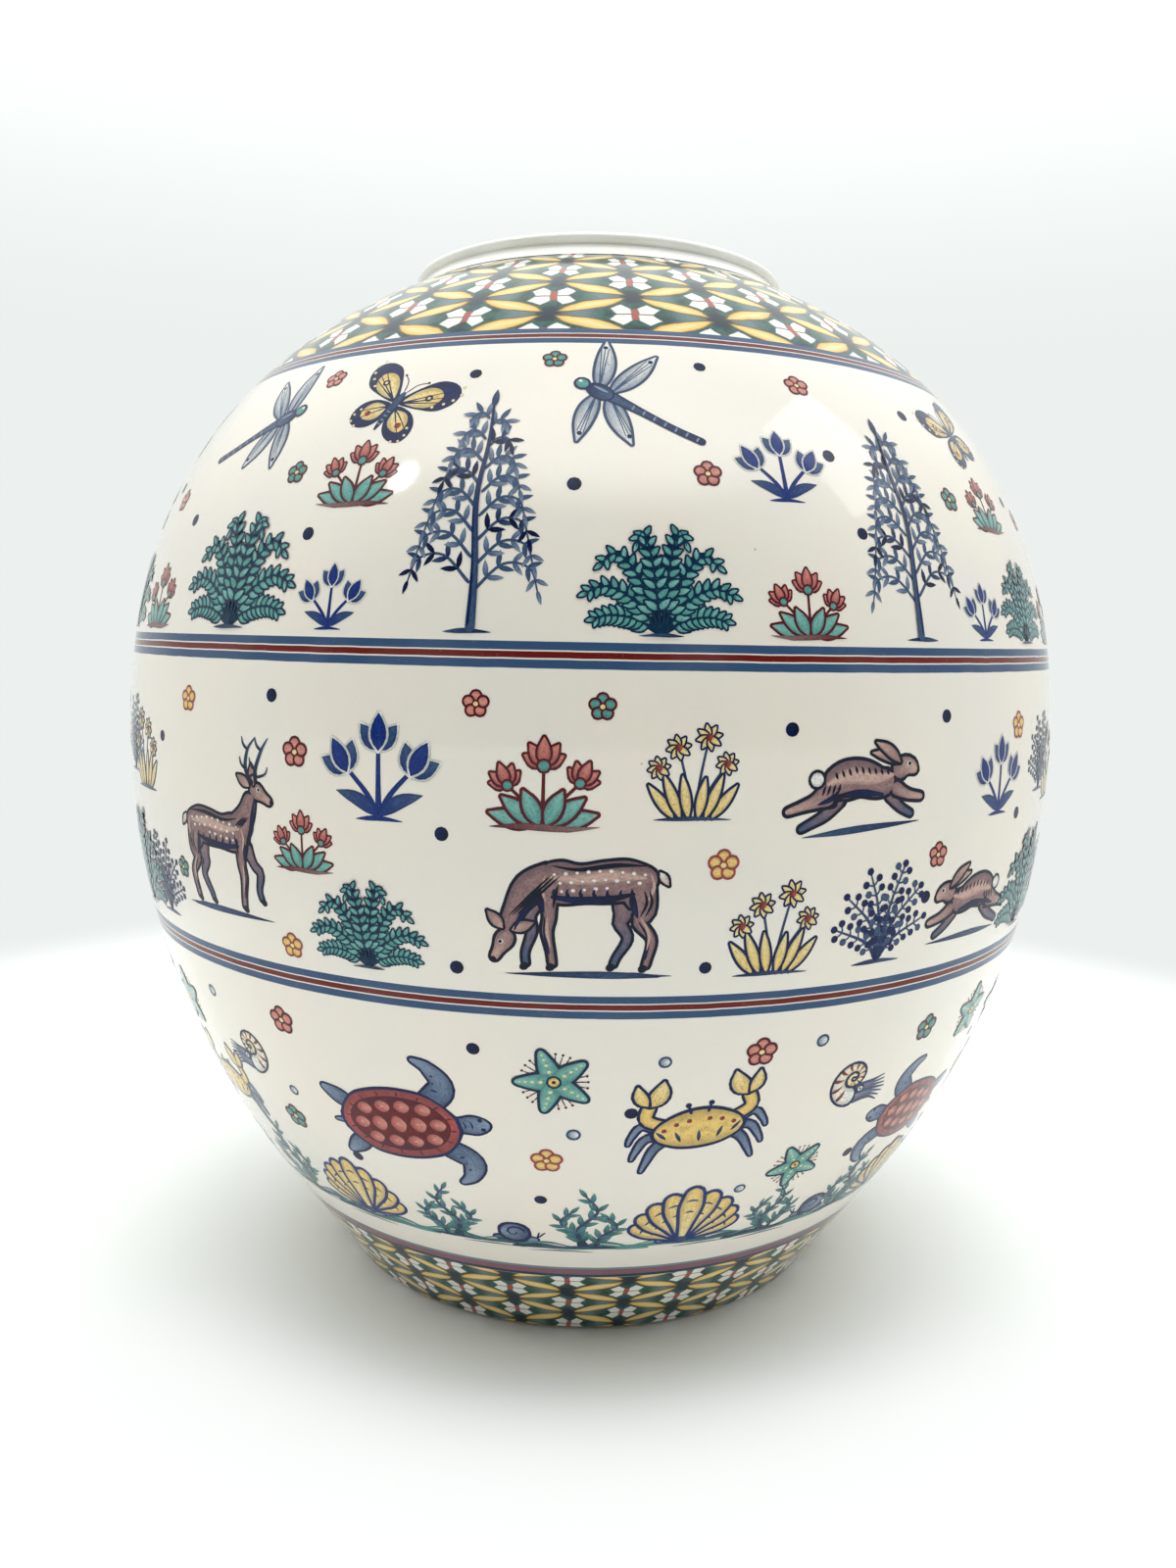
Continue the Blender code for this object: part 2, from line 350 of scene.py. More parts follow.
def hole_radius(size):
    return size.neck_radius + size.coat_gap


def foot_bore(size, outline):
    return outline.at(0.0, size.coat_thickness + size.coat_gap)[0] - size.foot_ring_width


def band_limits(size, outline):
    """Where each printed band ends along the outline, from the foot up."""
    foot = outline.distance_at(size.foot_clearance)
    collar = outline.distance_at_radius(hole_radius(size), size.coat_thickness)
    limits = [foot, foot + size.lower_border_width, foot + size.lower_border_width + size.stripe_width]
    for height in (size.belly_height - size.lower_stripe_drop, size.belly_height + size.upper_stripe_rise):
        middle = outline.distance_at(height)
        limits += [middle - size.stripe_width / 2, middle + size.stripe_width / 2]
    top = collar - size.upper_border_width
    limits += [top - size.stripe_width, top, collar]
    names = ("lower_border", "foot_stripe", "lower_frieze", "lower_belly_stripe", "middle_frieze",
             "upper_belly_stripe", "upper_frieze", "shoulder_stripe", "upper_border")
    return {name: ends for name, ends in zip(names, zip(limits, limits[1:]))}


def rows(start, end, row_length):
    return np.linspace(start, end, max(1, math.ceil(abs(end - start) / row_length)) + 1)


def arc(centre, radius, start, end, count=ARC_POINTS):
    """Points round an arc in the (radius, height) plane, from one angle in degrees to another."""
    angles = np.radians(np.linspace(start, end, count))
    return [(centre[0] + radius * math.cos(angle), centre[1] + radius * math.sin(angle)) for angle in angles]


def stretch(outline, start, end, depth, row_length, outside):
    """Points along the outline at a depth, each with the surface's normal and its distance."""
    points = []
    for distance in rows(start, end, row_length):
        radius, height = outline.at(distance, depth)
        out = np.array(outline.normal(distance)) * (1 if outside else -1)
        points.append(((float(radius), float(height)), (float(out[0]), float(out[1])), float(distance)))
    return points


def plain(points):
    """Points whose normals are worked out from their neighbours."""
    return [(tuple(float(value) for value in point), None, 0.0) for point in points]


# Turned pieces.


def draw_profile(name, points, closed):
    """Draw a profile in the XZ plane, one point after another, as a line of edges."""
    bpy.ops.object.select_all(action="DESELECT")
    bpy.ops.mesh.primitive_plane_add(size=START_SIZE, location=(0, 0, 0))
    piece = bpy.context.object
    piece.name = name
    piece.data.name = name
    bpy.ops.object.mode_set(mode="EDIT")
    bpy.ops.mesh.select_all(action="SELECT")
    bpy.ops.mesh.merge(type="CENTER")
    bpy.ops.transform.translate(value=(points[0][0], 0, points[0][1]))
    for (radius, height), (next_radius, next_height) in zip(points, points[1:]):
        bpy.ops.mesh.extrude_region_move(
            TRANSFORM_OT_translate={"value": (next_radius - radius, 0, next_height - height)})
    if closed:
        edit = bmesh.from_edit_mesh(piece.data)
        for vertex in edit.verts:
            vertex.select = len(vertex.link_edges) == 1
        edit.select_flush_mode()
        bmesh.update_edit_mesh(piece.data)
        bpy.ops.mesh.edge_face_add()
    return piece


def turned(name, profile, closed, finish, nodes=()):
    """Turn a profile about the axis.

    It is a list of (point, normal, distance), and runs down its outer side, from top to bottom.
    """
    steps = sizes().turns
    piece = draw_profile(name, [item[0] for item in profile], closed)
    bpy.ops.mesh.select_all(action="SELECT")
    bpy.ops.mesh.spin(steps=steps, angle=TURN, center=(0, 0, 0), axis=(0, 0, 1), use_auto_merge=True)
    bpy.ops.mesh.select_all(action="SELECT")
    bpy.ops.mesh.remove_doubles(threshold=MERGE_DISTANCE)
    bpy.ops.mesh.normals_make_consistent(inside=False)
    bpy.ops.object.mode_set(mode="OBJECT")
    mesh = piece.data
    while mesh.uv_layers:
        mesh.uv_layers.remove(mesh.uv_layers[0])
    map_turned(mesh, profile, closed, steps)
    mesh.materials.clear()
    mesh.materials.append(finish)
    settle(piece, nodes)


def settle(piece, nodes):
    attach(piece, BODY)
    if nodes:
        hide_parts(*nodes)


def fetched(items, name, kind=np.int64, width=1):
    """One property of many items of a mesh, as an array."""
    values = np.zeros(len(items) * width, kind)
    items.foreach_get(name, values)
    return values.reshape(-1, width) if width > 1 else values


def corner_places(mesh, points, closed, steps):
    """For each face corner: its place along the profile and round the axis, without a jump inside a face."""
    count = len(points)
    place = fetched(mesh.vertices, "co", float, 3)
    radius = np.hypot(place[:, 0], place[:, 1])
    target = np.array(points)
    away = (radius[:, None] - target[None, :, 0]) ** 2 + (place[:, None, 2] - target[None, :, 1]) ** 2
    along = away.argmin(1)
    round_ = np.rint(np.arctan2(place[:, 0], -place[:, 1]) / TURN * steps) % steps
    round_[radius < AXIS_REACH] = np.nan
    vertex = fetched(mesh.loops, "vertex_index")
    start, total = fetched(mesh.polygons, "loop_start"), fetched(mesh.polygons, "loop_total")
    face = np.repeat(np.arange(len(start)), total)
    along, round_ = along[vertex].astype(float), round_[vertex]
    for values, span in ((along, count if closed else None), (round_, steps)):
        known = np.where(np.isnan(values), -1, values)
        high = np.maximum.reduceat(known, start)[face]
        low = np.minimum.reduceat(np.where(np.isnan(values), 1e9, values), start)[face]
        if span:
            values[(high - low > span / 2) & (values < span / 2)] += span
    total_round = np.add.reduceat(np.nan_to_num(round_), start)
    known_round = np.add.reduceat((~np.isnan(round_)).astype(float), start)
    mean = (total_round / known_round)[face]
    round_ = np.where(np.isnan(round_), mean, round_)
    return along, round_, face, start


def segment_normals(points, given, closed):
    """Normals at both ends of each stretch of a profile, smooth unless the profile turns sharply there."""
    count = len(points)
    stretches = count if closed else count - 1
    own = []
    for index in range(stretches):
        (r0, z0), (r1, z1) = points[index], points[(index + 1) % count]
        size = math.hypot(r1 - r0, z1 - z0)
        own.append(np.array([-(z1 - z0) / size, (r1 - r0) / size]))
    ends = np.zeros((stretches, 2, 2))
    for index in range(stretches):
        for side, other in ((0, index - 1), (1, index + 1)):
            point = (index + side) % count
            normal = own[index]
            inside = closed or 0 <= other < stretches
            near = own[other % stretches] if inside else None
            pair = (given[index], given[(index + 1) % count])
            if pair[0] is not None and pair[1] is not None and np.dot(pair[side], own[index]) > SMOOTH_LIMIT:
                normal = np.array(given[point])
            elif near is not None and np.dot(near, own[index]) > SMOOTH_LIMIT:
                normal = near + own[index]
            ends[index, side] = normal / np.hypot(*normal)
    return ends


def map_turned(mesh, profile, closed, steps):
    """Give a turned mesh its wrap map, its bake map and its exact normals."""
    points = [item[0] for item in profile]
    along, around, face, start = corner_places(mesh, points, closed, steps)
    distance = np.array([item[2] for item in profile] + [profile[0][2]])
    wrap = mesh.uv_layers.new(name="wrap")
    wrap.uv.foreach_set("vector", np.column_stack([around / steps, distance[along.astype(int)]]).ravel())
    loop = points + [points[0]]
    walked = np.concatenate([[0], np.cumsum([math.dist(a, b) for a, b in zip(loop, loop[1:])])])
    tall = walked[-1 if closed else -2]
    wide = TURN * max(point[0] for point in points)
    strips = max(1, round(math.sqrt(wide / tall)))
    first = np.minimum.reduceat(around, start)[face]
    per_strip = math.ceil(steps / strips)
    strip = np.floor(first / per_strip)
    scale = (1 - 2 * MAP_GAP) / max(wide * per_strip / steps, strips * tall)
    across = MAP_GAP + (around - strip * per_strip) / steps * wide * scale
    up = MAP_GAP + (strip * tall + walked[along.astype(int)]) * scale * (1 - MAP_GAP) + strip * MAP_GAP / strips
    bake = mesh.uv_layers.new(name="OFBake")
    bake.uv.foreach_set("vector", np.column_stack([across, up]).ravel())
    given = [item[1] for item in profile]
    ends = segment_normals(points, given, closed)
    least = np.minimum.reduceat(along, start)[face]
    low, side = least.astype(int) % len(ends), (along > least).astype(int)
    flat = ends[low, side]
    angle = around / steps * TURN
    normal = np.column_stack([flat[:, 0] * np.sin(angle), -flat[:, 0] * np.cos(angle), flat[:, 1]])
    mesh.polygons.foreach_set("use_smooth", [True] * len(mesh.polygons))
    mesh.normals_split_custom_set(normal.tolist())
    mesh.uv_layers.active = bake
    mesh.update()


# Finishes.


class Value:
    """A shader socket that adds its own Math nodes when it is used in a sum."""

    def __init__(self, finish, socket):
        self.finish = finish
        self.socket = socket

    def math(self, operation, *inputs):
        node = self.finish.node("ShaderNodeMath", {"operation": operation}, dict(enumerate(inputs)))
        return Value(self.finish, node.outputs[0])

    def __add__(self, other):
        return self.math("ADD", self, other)

    def __sub__(self, other):
        return self.math("SUBTRACT", self, other)

    def __rsub__(self, other):
        return self.math("SUBTRACT", other, self)

    def __mul__(self, other):
        return self.math("MULTIPLY", self, other)

    def __truediv__(self, other):
        return self.math("DIVIDE", self, other)

    def __rtruediv__(self, other):
        return self.math("DIVIDE", other, self)

    def __pow__(self, other):
        return self.math("POWER", self, other)

    def __neg__(self):
        return self.math("MULTIPLY", self, -1)

    def __lt__(self, other):
        return self.math("LESS_THAN", self, other)

    def __gt__(self, other):
        return self.math("GREATER_THAN", self, other)

    def __abs__(self):
        return self.math("ABSOLUTE", self)

    def fraction(self):
        return self.math("FRACT", self)

    def least(self, other):
        return self.math("MINIMUM", self, other)

    def most(self, other):
        return self.math("MAXIMUM", self, other)

    def step(self, low, high):
        """A soft step from 0 at low to 1 at high."""
        node = self.finish.node("ShaderNodeMapRange", {"interpolation_type": "SMOOTHSTEP"},
                                {"Value": self, "From Min": low, "From Max": high})
        return Value(self.finish, node.outputs[0])

    __radd__ = __add__
    __rmul__ = __mul__


class Nodes:
    """A tree of shader nodes in the making."""

    def __init__(self, tree):
        self.tree = tree

    def node(self, kind, settings, inputs):
        """Add a node: its settings first, then the values or links of its sockets."""
        node = self.tree.nodes.new(kind)
        for name, setting in settings.items():
            setattr(node, name, setting)
        self.wire(node, inputs)
        return node

    def wire(self, node, inputs):
        for name, item in inputs.items():
            socket = node.inputs[name]
            if isinstance(item, Value):
                self.tree.links.new(item.socket, socket)
            elif isinstance(item, bpy.types.NodeSocket):
                self.tree.links.new(item, socket)
            elif socket.type == "RGBA" and len(item) == 3:
                socket.default_value = (*item, 1)
            else:
                socket.default_value = item

    def place(self):
        return self.node("ShaderNodeTexCoord", {}, {}).outputs["Object"]

    def noise(self, scale, detail=2.0, vector=None, roughness=0.5):
        """Smooth noise from about 0 to 1, in cells per metre."""
        node = self.node("ShaderNodeTexNoise", {},
                         {"Vector": vector or self.place(), "Scale": scale, "Detail": detail,
                          "Roughness": roughness})
        return Value(self, node.outputs["Fac"])

    def axes(self, vector):
        """The three parts of a vector."""
        node = self.node("ShaderNodeSeparateXYZ", {}, {"Vector": vector})
        return [Value(self, socket) for socket in node.outputs]

    def rays(self, *kinds):
        """For each kind of ray: 1 if the one that asks is of that kind."""
        node = self.node("ShaderNodeLightPath", {}, {})
        return [Value(self, node.outputs[f"Is {kind} Ray"]) for kind in kinds]

    def mix(self, share, first, second):
        """A colour between two others."""
        node = self.node("ShaderNodeMix", {"data_type": "RGBA"}, {0: share, 6: first, 7: second})
        return node.outputs[2]


class Finish(Nodes):
    """A material in the making."""

    def __init__(self, name):
        self.material = bpy.data.materials.new(name)
        self.material.use_nodes = True
        super().__init__(self.material.node_tree)
        self.shader = self.tree.nodes["Principled BSDF"]

    def bump(self, height, strength, distance):
        node = self.node("ShaderNodeBump", {}, {"Height": height, "Strength": strength, "Distance": distance})
        return node.outputs[0]

    def ripple(self, relief=None):
        """The faint waves of a glaze, with a finer relief laid over them."""
        waves = self.noise(RIPPLE_CELLS, 2)
        return self.bump(waves if relief is None else waves + relief, RIPPLE_STRENGTH, RIPPLE_DEPTH)

    def sheen(self):
        """How rough a glaze is, which varies a little from place to place."""
        return self.noise(60, 2) * ROUGHNESS_SPREAD + (GLAZE_ROUGHNESS - ROUGHNESS_SPREAD / 2)

    def gloss(self, color, roughness, normal=None, coat=0.0, shine=SHINE):
        self.wire(self.shader, {"Base Color": color, "Roughness": roughness, "Coat Weight": coat,
                                "Coat Roughness": 0.03, "IOR": 1.5, "Specular IOR Level": shine})
        if normal:
            self.wire(self.shader, {"Normal": normal})
        return self.material


def glaze_color(finish, color):
    """The glazed ground: faint clouds, a slightly greyer pooling and rare fine specks."""
    cloud = finish.noise(28, 3)
    grain = finish.noise(900, 2)
    warm, cool = scaled(color, (1.0, 0.985, 0.955)), scaled(color, (0.965, 0.97, 0.975))
    ground = finish.mix(cloud.step(0.35, 0.65), warm, cool)
    ground = finish.mix((grain - 0.5) * 0.10 + 0.05, ground, GREY)
    cells = finish.node("ShaderNodeTexVoronoi", {"feature": "F1"}, {"Vector": finish.place(), "Scale": 95})
    chance = Value(finish, finish.node("ShaderNodeSeparateColor", {},
                                       {"Color": cells.outputs["Color"]}).outputs[0])
    near = Value(finish, cells.outputs["Distance"])
    speck = (1 - near.step(0.010, 0.030)) * (chance > 0.90) * 0.55
    return finish.mix(speck, ground, SPECK)


def glaze_finish(name, color):
    finish = Finish(name)
    normal = finish.ripple(finish.noise(190, 1) * 0.12)
    return finish.gloss(glaze_color(finish, color), finish.sheen(), normal, GLAZE_COAT)


def clay_finish(name, color):
    finish = Finish(name)
    grain = finish.noise(1400, 4, roughness=0.65)
    cloud = finish.noise(60, 3)
    base = finish.mix(grain.step(0.3, 0.7) * 0.5 + cloud * 0.3, color, scaled(color, 0.78))
    normal = finish.bump(grain, 0.5, 0.0003)
    return finish.gloss(base, grain * 0.2 + 0.62, normal)


def wrap_place(finish):
    """How far round the vase, in turns from its front, and how far up along its surface, in metres."""
    around, up, _ = finish.axes(finish.node("ShaderNodeUVMap", {"uv_map": "wrap"}, {}).outputs[0])
    return around, up


def stripe_finish(name, start, lines, ground):
    """Printed lines round the vase: each is (from, to, colour), as millimetres above the stripe's lower edge."""
    finish = Finish(name)
    _, up = wrap_place(finish)
    wobble = (finish.noise(140, 2) - 0.5) * 0.22
    height = (up - start) / MILLIMETRE + wobble
    color = glaze_color(finish, ground)
    worn = finish.noise(1100, 2).step(0.62, 0.80) * 0.30
    for low, high, ink in lines:
        inside = height.step(low - 0.07, low + 0.07) * (1 - height.step(high - 0.07, high + 0.07))
        shade = finish.mix(worn + finish.noise(75, 2).step(0.4, 0.7) * 0.18, ink, scaled(ink, 0.8, 0.12))
        color = finish.mix(inside, color, shade)
    return finish.gloss(color, finish.sheen(), finish.ripple(), PRINT_COAT, PRINT_SHINE)


def lattice_finish(name, repeats, phase, first_row, row, colors):
    """The border of overlapping circles: yellow petals, dark cells, and a small white flower in each cell."""
    finish = Finish(name)
    around, up = wrap_place(finish)
    across = around * repeats - phase + (finish.noise(160, 2) - 0.5) * 0.06
    level = (up - first_row) / row + (finish.noise(170, 2, vector=shifted(finish)) - 0.5) * 0.14
    first, second = across + level / 2, across - level / 2
    first_off = (first + 0.5).fraction() - 0.5
    second_off = (second + 0.5).fraction() - 0.5
    first_cell, second_cell = first.fraction() - 0.5, second.fraction() - 0.5
    aside = abs(first_cell + second_cell)
    aloft = abs(first_cell - second_cell)
    one, two = ((1 - (cell / PETAL_LENGTH) ** 2) * PETAL_THICKNESS - abs(off)
                for cell, off in ((first_cell, second_off), (second_cell, first_off)))
    lens = one.most(two)
    grain = finish.noise(1300, 2)
    color = finish.mix(finish.noise(420, 2).step(0.35, 0.7), colors["green"], colors["deep"])
    color = finish.mix(aside.step(0.34, 0.62) * 0.70, color, colors["slate"])
    color = finish.mix(grain.step(0.55, 0.75) * 0.28, color, colors["pale"])
    color = finish.mix(aside.step(0.66, 0.90) * 0.85, color, colors["olive"])
    knot = ((first_off + second_off) * 6.1) ** 2 + ((first_off - second_off) * 2.2) ** 2
    color = finish.mix((1 - knot.step(0.35, 1.30)) * 0.95, color, colors["knot"])
    color = finish.mix(lens.step(-0.034, -0.012), color, colors["olive"])
    petal = finish.mix(lens.step(0.0, 0.055), colors["amber"], colors["sun"])
    petal = finish.mix(lens.step(0.045, 0.115) * 0.75, petal, colors["cream"])
    petal = finish.mix(grain.step(0.58, 0.8) * 0.22, petal, colors["white"])
    color = finish.mix(lens.step(-0.006, 0.012), color, petal)
    lobe = aside * 0.5 - 0.021
    for start, out, rise in FLOWER_EDGES:
        lobe = lobe.least(aside * out + aloft * rise + start)
    color = finish.mix(lobe.step(-0.004, 0.010), color, colors["white"])
    bar = (1 - aside.step(0.026, 0.050)) * (1 - aloft.step(0.22, 0.32))
    line = (1 - aloft.step(0.010, 0.026)) * (1 - aside.step(0.17, 0.23)) * 0.6
    color = finish.mix(bar.most(line), color, colors["red"])
    normal = finish.ripple(lens.step(-0.03, 0.03) * 0.02)
    return finish.gloss(color, grain * 0.05 + 0.07, normal, PRINT_COAT, PRINT_SHINE)


def shifted(finish):
    """The place, moved aside, so that a second noise isn't like the first."""
    node = finish.node("ShaderNodeVectorMath", {"operation": "ADD"}, {0: finish.place(), 1: (0.31, 0.17, 0.23)})
    return node.outputs[0]


def print_finish(name):
    """Ink laid by a brush under the glaze: darker where it pools at a stroke's edge, streaky along it."""
    finish = Finish(name)
    ink = finish.node("ShaderNodeAttribute", {"attribute_name": "ink"}, {}).outputs["Color"]
    brush = finish.node("ShaderNodeUVMap", {"uv_map": "brush"}, {}).outputs[0]
    side = abs(finish.axes(brush)[1])
    stretched = finish.node("ShaderNodeVectorMath", {"operation": "MULTIPLY"}, {0: brush, 1: (0.35, 2.2, 1.0)})
    streak = finish.node("ShaderNodeTexNoise", {}, {"Vector": stretched.outputs[0], "Scale": 1.6, "Detail": 3.0})
    streak = Value(finish, streak.outputs["Fac"])
    grain = finish.noise(2300, 1)
    dark = finish.mix(0.60, ink, POOLED)
    lighter = finish.node("ShaderNodeGamma", {}, {"Color": ink, "Gamma": 0.80}).outputs[0]
    pale = finish.mix(0.03, lighter, WORN)
    color = finish.mix(streak.step(0.45, 0.75) * 0.40, ink, pale)
    color = finish.mix((1 - streak).step(0.45, 0.70) * 0.40, color, dark)
    color = finish.mix(grain.step(0.56, 0.70) * 0.28, color, pale)
    color = finish.mix((1 - grain).step(0.56, 0.68) * 0.50, color, dark)
    color = finish.mix(side.step(0.35, 1.0) * 0.60, color, dark)
    return finish.gloss(color, GLAZE_ROUGHNESS, None, PRINT_COAT, PRINT_SHINE)


# Painted motifs.


class Motif:
    """Brush strokes on a flat sheet, in millimetres, from the motif's foot."""

    def __init__(self):
        self.strokes = []
        self.figures = 0

    def stroke(self, line, widths, ink, tip=None, rim=None, edge=0.30):
        """One stroke along a line of points.

        Half widths are spread evenly along it. A rim is a wider stroke under it.
        """
        line = np.array(line, float)
        widths = np.array(widths, float)
        if rim:
            self.strokes.append((line, widths, rim, rim, edge * RIM_WEIGHT, 0))
        self.strokes.append((line, widths, ink, tip or ink, 0.0, 0))

    def figure(self, parts, rim, edge):
        """Strokes with one outline round them all. Each part is (line, half widths, ink, ink at its end)."""
        self.figures += 1
        for line, widths, _, _ in parts:
            self.strokes.append((np.array(line, float), np.array(widths, float), rim, rim, edge * RIM_WEIGHT,
                                 self.figures))
        for line, widths, ink, tip in parts:
            self.stroke(line, widths, ink, tip)

    def leaf(self, x, y, angle, size, width, ink, tip=None, rim=None, edge=0.28, bend=0.0):
        """A pointed leaf from its stalk's end. The angle is in degrees from the right, growing upwards."""
        turn = math.radians(angle)
        along, side = np.array([math.cos(turn), math.sin(turn)]), np.array([-math.sin(turn), math.cos(turn)])
        root = np.array([x, y], float)
        line = [root, root + along * size * 0.5 + side * bend * size, root + along * size]
        self.stroke(line, (0.12 * width, 0.85 * width, width, 0.70 * width, 0.05), ink, tip, rim, edge)

    def dot(self, x, y, radius, ink, rim=None, edge=0.28, tip=None):
        self.stroke([(x - radius, y), (x + radius, y)], (radius, radius), ink, tip, rim, edge)

    def add(self, other, side):
        """Lay another motif's strokes into this one, mirrored if the side is -1."""
        for line, *rest in other.strokes:
            self.strokes.append((line * (side, 1), *rest))


def points_at(distances, walked, curve):
    """The points at some distances along a curve, of which each point is given with the length walked to it."""
    return np.column_stack([np.interp(distances, walked, curve[:, axis]) for axis in range(2)])


def walk_stroke(line, widths, edge):
    """Samples along a stroke's curve, closer at its rounded ends: place, side direction, half width and share."""
    if len(line) == 2:
        line = np.array([line[0], (line[0] + line[1]) / 2, line[1]])
    count = len(line)
    padded = np.vstack([2 * line[0] - line[1], line, 2 * line[-1] - line[-2]])
    fine = np.linspace(0, count - 1, CURVE_STEPS * (count - 1) + 1)
    cell = np.minimum(fine.astype(int), count - 2)
    curve = through(padded, cell, (fine - cell)[:, None])
    if edge:
        curve[0] += (curve[0] - curve[1]) / math.dist(curve[0], curve[1]) * edge
        curve[-1] += (curve[-1] - curve[-2]) / math.dist(curve[-1], curve[-2]) * edge
    walked = np.concatenate([[0], np.cumsum(np.hypot(*np.diff(curve, axis=0).T))])
    total = walked[-1]
    at = np.linspace(0, total, max(LEAST_ROWS, min(MOST_ROWS, math.ceil(total / PAINT_ROW))) + 1)
    caps = [min(widths[end] + edge, PAINT_CAP, total / 2) for end in (0, -1)]
    near = [cap * share for cap in caps for share in CAP_ROWS if cap > LEAST_CAP]
    at = np.concatenate([at, near[:len(near) // 2], [total - away for away in near[len(near) // 2:]]])
    at = np.unique(np.round(at, 4))
    share = at / total
    half = smooth_widths(widths, np.clip((at - edge) / (total - 2 * edge), 0, 1)) + edge
    for cap, away in zip(caps, (at, total - at)):
        round_ = np.sqrt(np.maximum(0, 1 - np.clip(1 - away / cap, 0, 1) ** 2))
        half = half - cap * (1 - round_)
    ahead, back = np.minimum(at + LOOK_ALONG, total), np.maximum(at - LOOK_ALONG, 0)
    along = points_at(ahead, walked, curve) - points_at(back, walked, curve)
    along /= np.maximum(np.hypot(*along.T), 1e-9)[:, None]
    side = np.column_stack([-along[:, 1], along[:, 0]])
    return points_at(at, walked, curve), side, np.maximum(half, LEAST_HALF_WIDTH), share


def through(padded, cell, part):
    """A smooth curve through points, of which two more lie past its ends."""
    p0, p1, p2, p3 = (padded[cell + shift] for shift in range(4))
    return 0.5 * (2 * p1 + (p2 - p0) * part + (2 * p0 - 5 * p1 + 4 * p2 - p3) * part ** 2
                  + (3 * p1 - p0 - 3 * p2 + p3) * part ** 3)


def smooth_widths(widths, share):
    """Half widths between the given ones, eased so that a stroke swells without corners."""
    at = share * (len(widths) - 1)
    cell = np.minimum(at.astype(int), len(widths) - 2)
    padded = np.concatenate([[2 * widths[0] - widths[1]], widths, [2 * widths[-1] - widths[-2]]])
    return np.maximum(through(padded, cell, at - cell), 0)


class Ribbon:
    """One stroke as a strip of faces on the flat sheet, before it goes round the vase."""

    def __init__(self, stroke):
        line, widths, self.ink, self.tip, edge, self.figure = stroke
        self.place, side, self.half, self.share = walk_stroke(line, widths, edge)
        self.columns = 2 * max(1, math.ceil(self.half.max() / PAINT_CELL))
        self.across = np.linspace(-1, 1, self.columns + 1)
        self.flat = self.place[:, None, :] + side[:, None, :] * (self.half[:, None] * self.across)[:, :, None]
        self.long = float(np.hypot(*np.diff(self.place, axis=0).T).sum())
        self.wide = float(2 * self.half.max())
        self.low = self.flat.reshape(-1, 2).min(0)
        self.high = self.flat.reshape(-1, 2).max(0)
        self.level = 0

    def crosses(self, other):
        """True if two ribbons touch. Ribbons of one outline count as apart."""
        if self.figure and self.figure == other.figure:
            return False
        if (other.low > self.high).any() or (self.low > other.high).any():
            return False
        away = self.place[:, None, :] - other.place[None, :, :]
        reach = self.half[:, None] + other.half[None, :] + PAINT_ROW / 2
        return bool(((away ** 2).sum(-1) < reach ** 2).any())


def ribbons(motif):
    """A motif's ribbons, each raised over the earlier ones that it crosses."""
    done = []
    for stroke in motif.strokes:
        ribbon = Ribbon(stroke)
        under = [other.level for other in done if ribbon.crosses(other)]
        ribbon.level = max(under) + 1 if under else 0
        done.append(ribbon)
    return done


def shelf_map(boxes):
    """Corners and scale for islands on a square map, in rows of islands of falling height."""
    order = sorted(range(len(boxes)), key=lambda index: -boxes[index][1])
    area = sum(wide * tall for wide, tall in boxes)
    scale = STROKE_MAP_FILL / math.sqrt(area)
    while True:
        places, x, y, shelf = {}, STROKE_MAP_GAP, STROKE_MAP_GAP, 0.0
        for index in order:
            wide, tall = boxes[index][0] * scale, boxes[index][1] * scale
            if x + wide + STROKE_MAP_GAP > 1:
                x, y, shelf = STROKE_MAP_GAP, y + shelf + STROKE_MAP_GAP, 0.0
            shelf = max(shelf, tall)
            places[index] = (x, y)
            x += wide + STROKE_MAP_GAP
        if y + shelf + STROKE_MAP_GAP <= 1 and max(box[0] for box in boxes) * scale < STROKE_MAP_WIDTH:
            return places, scale
        scale *= STROKE_MAP_SHRINK


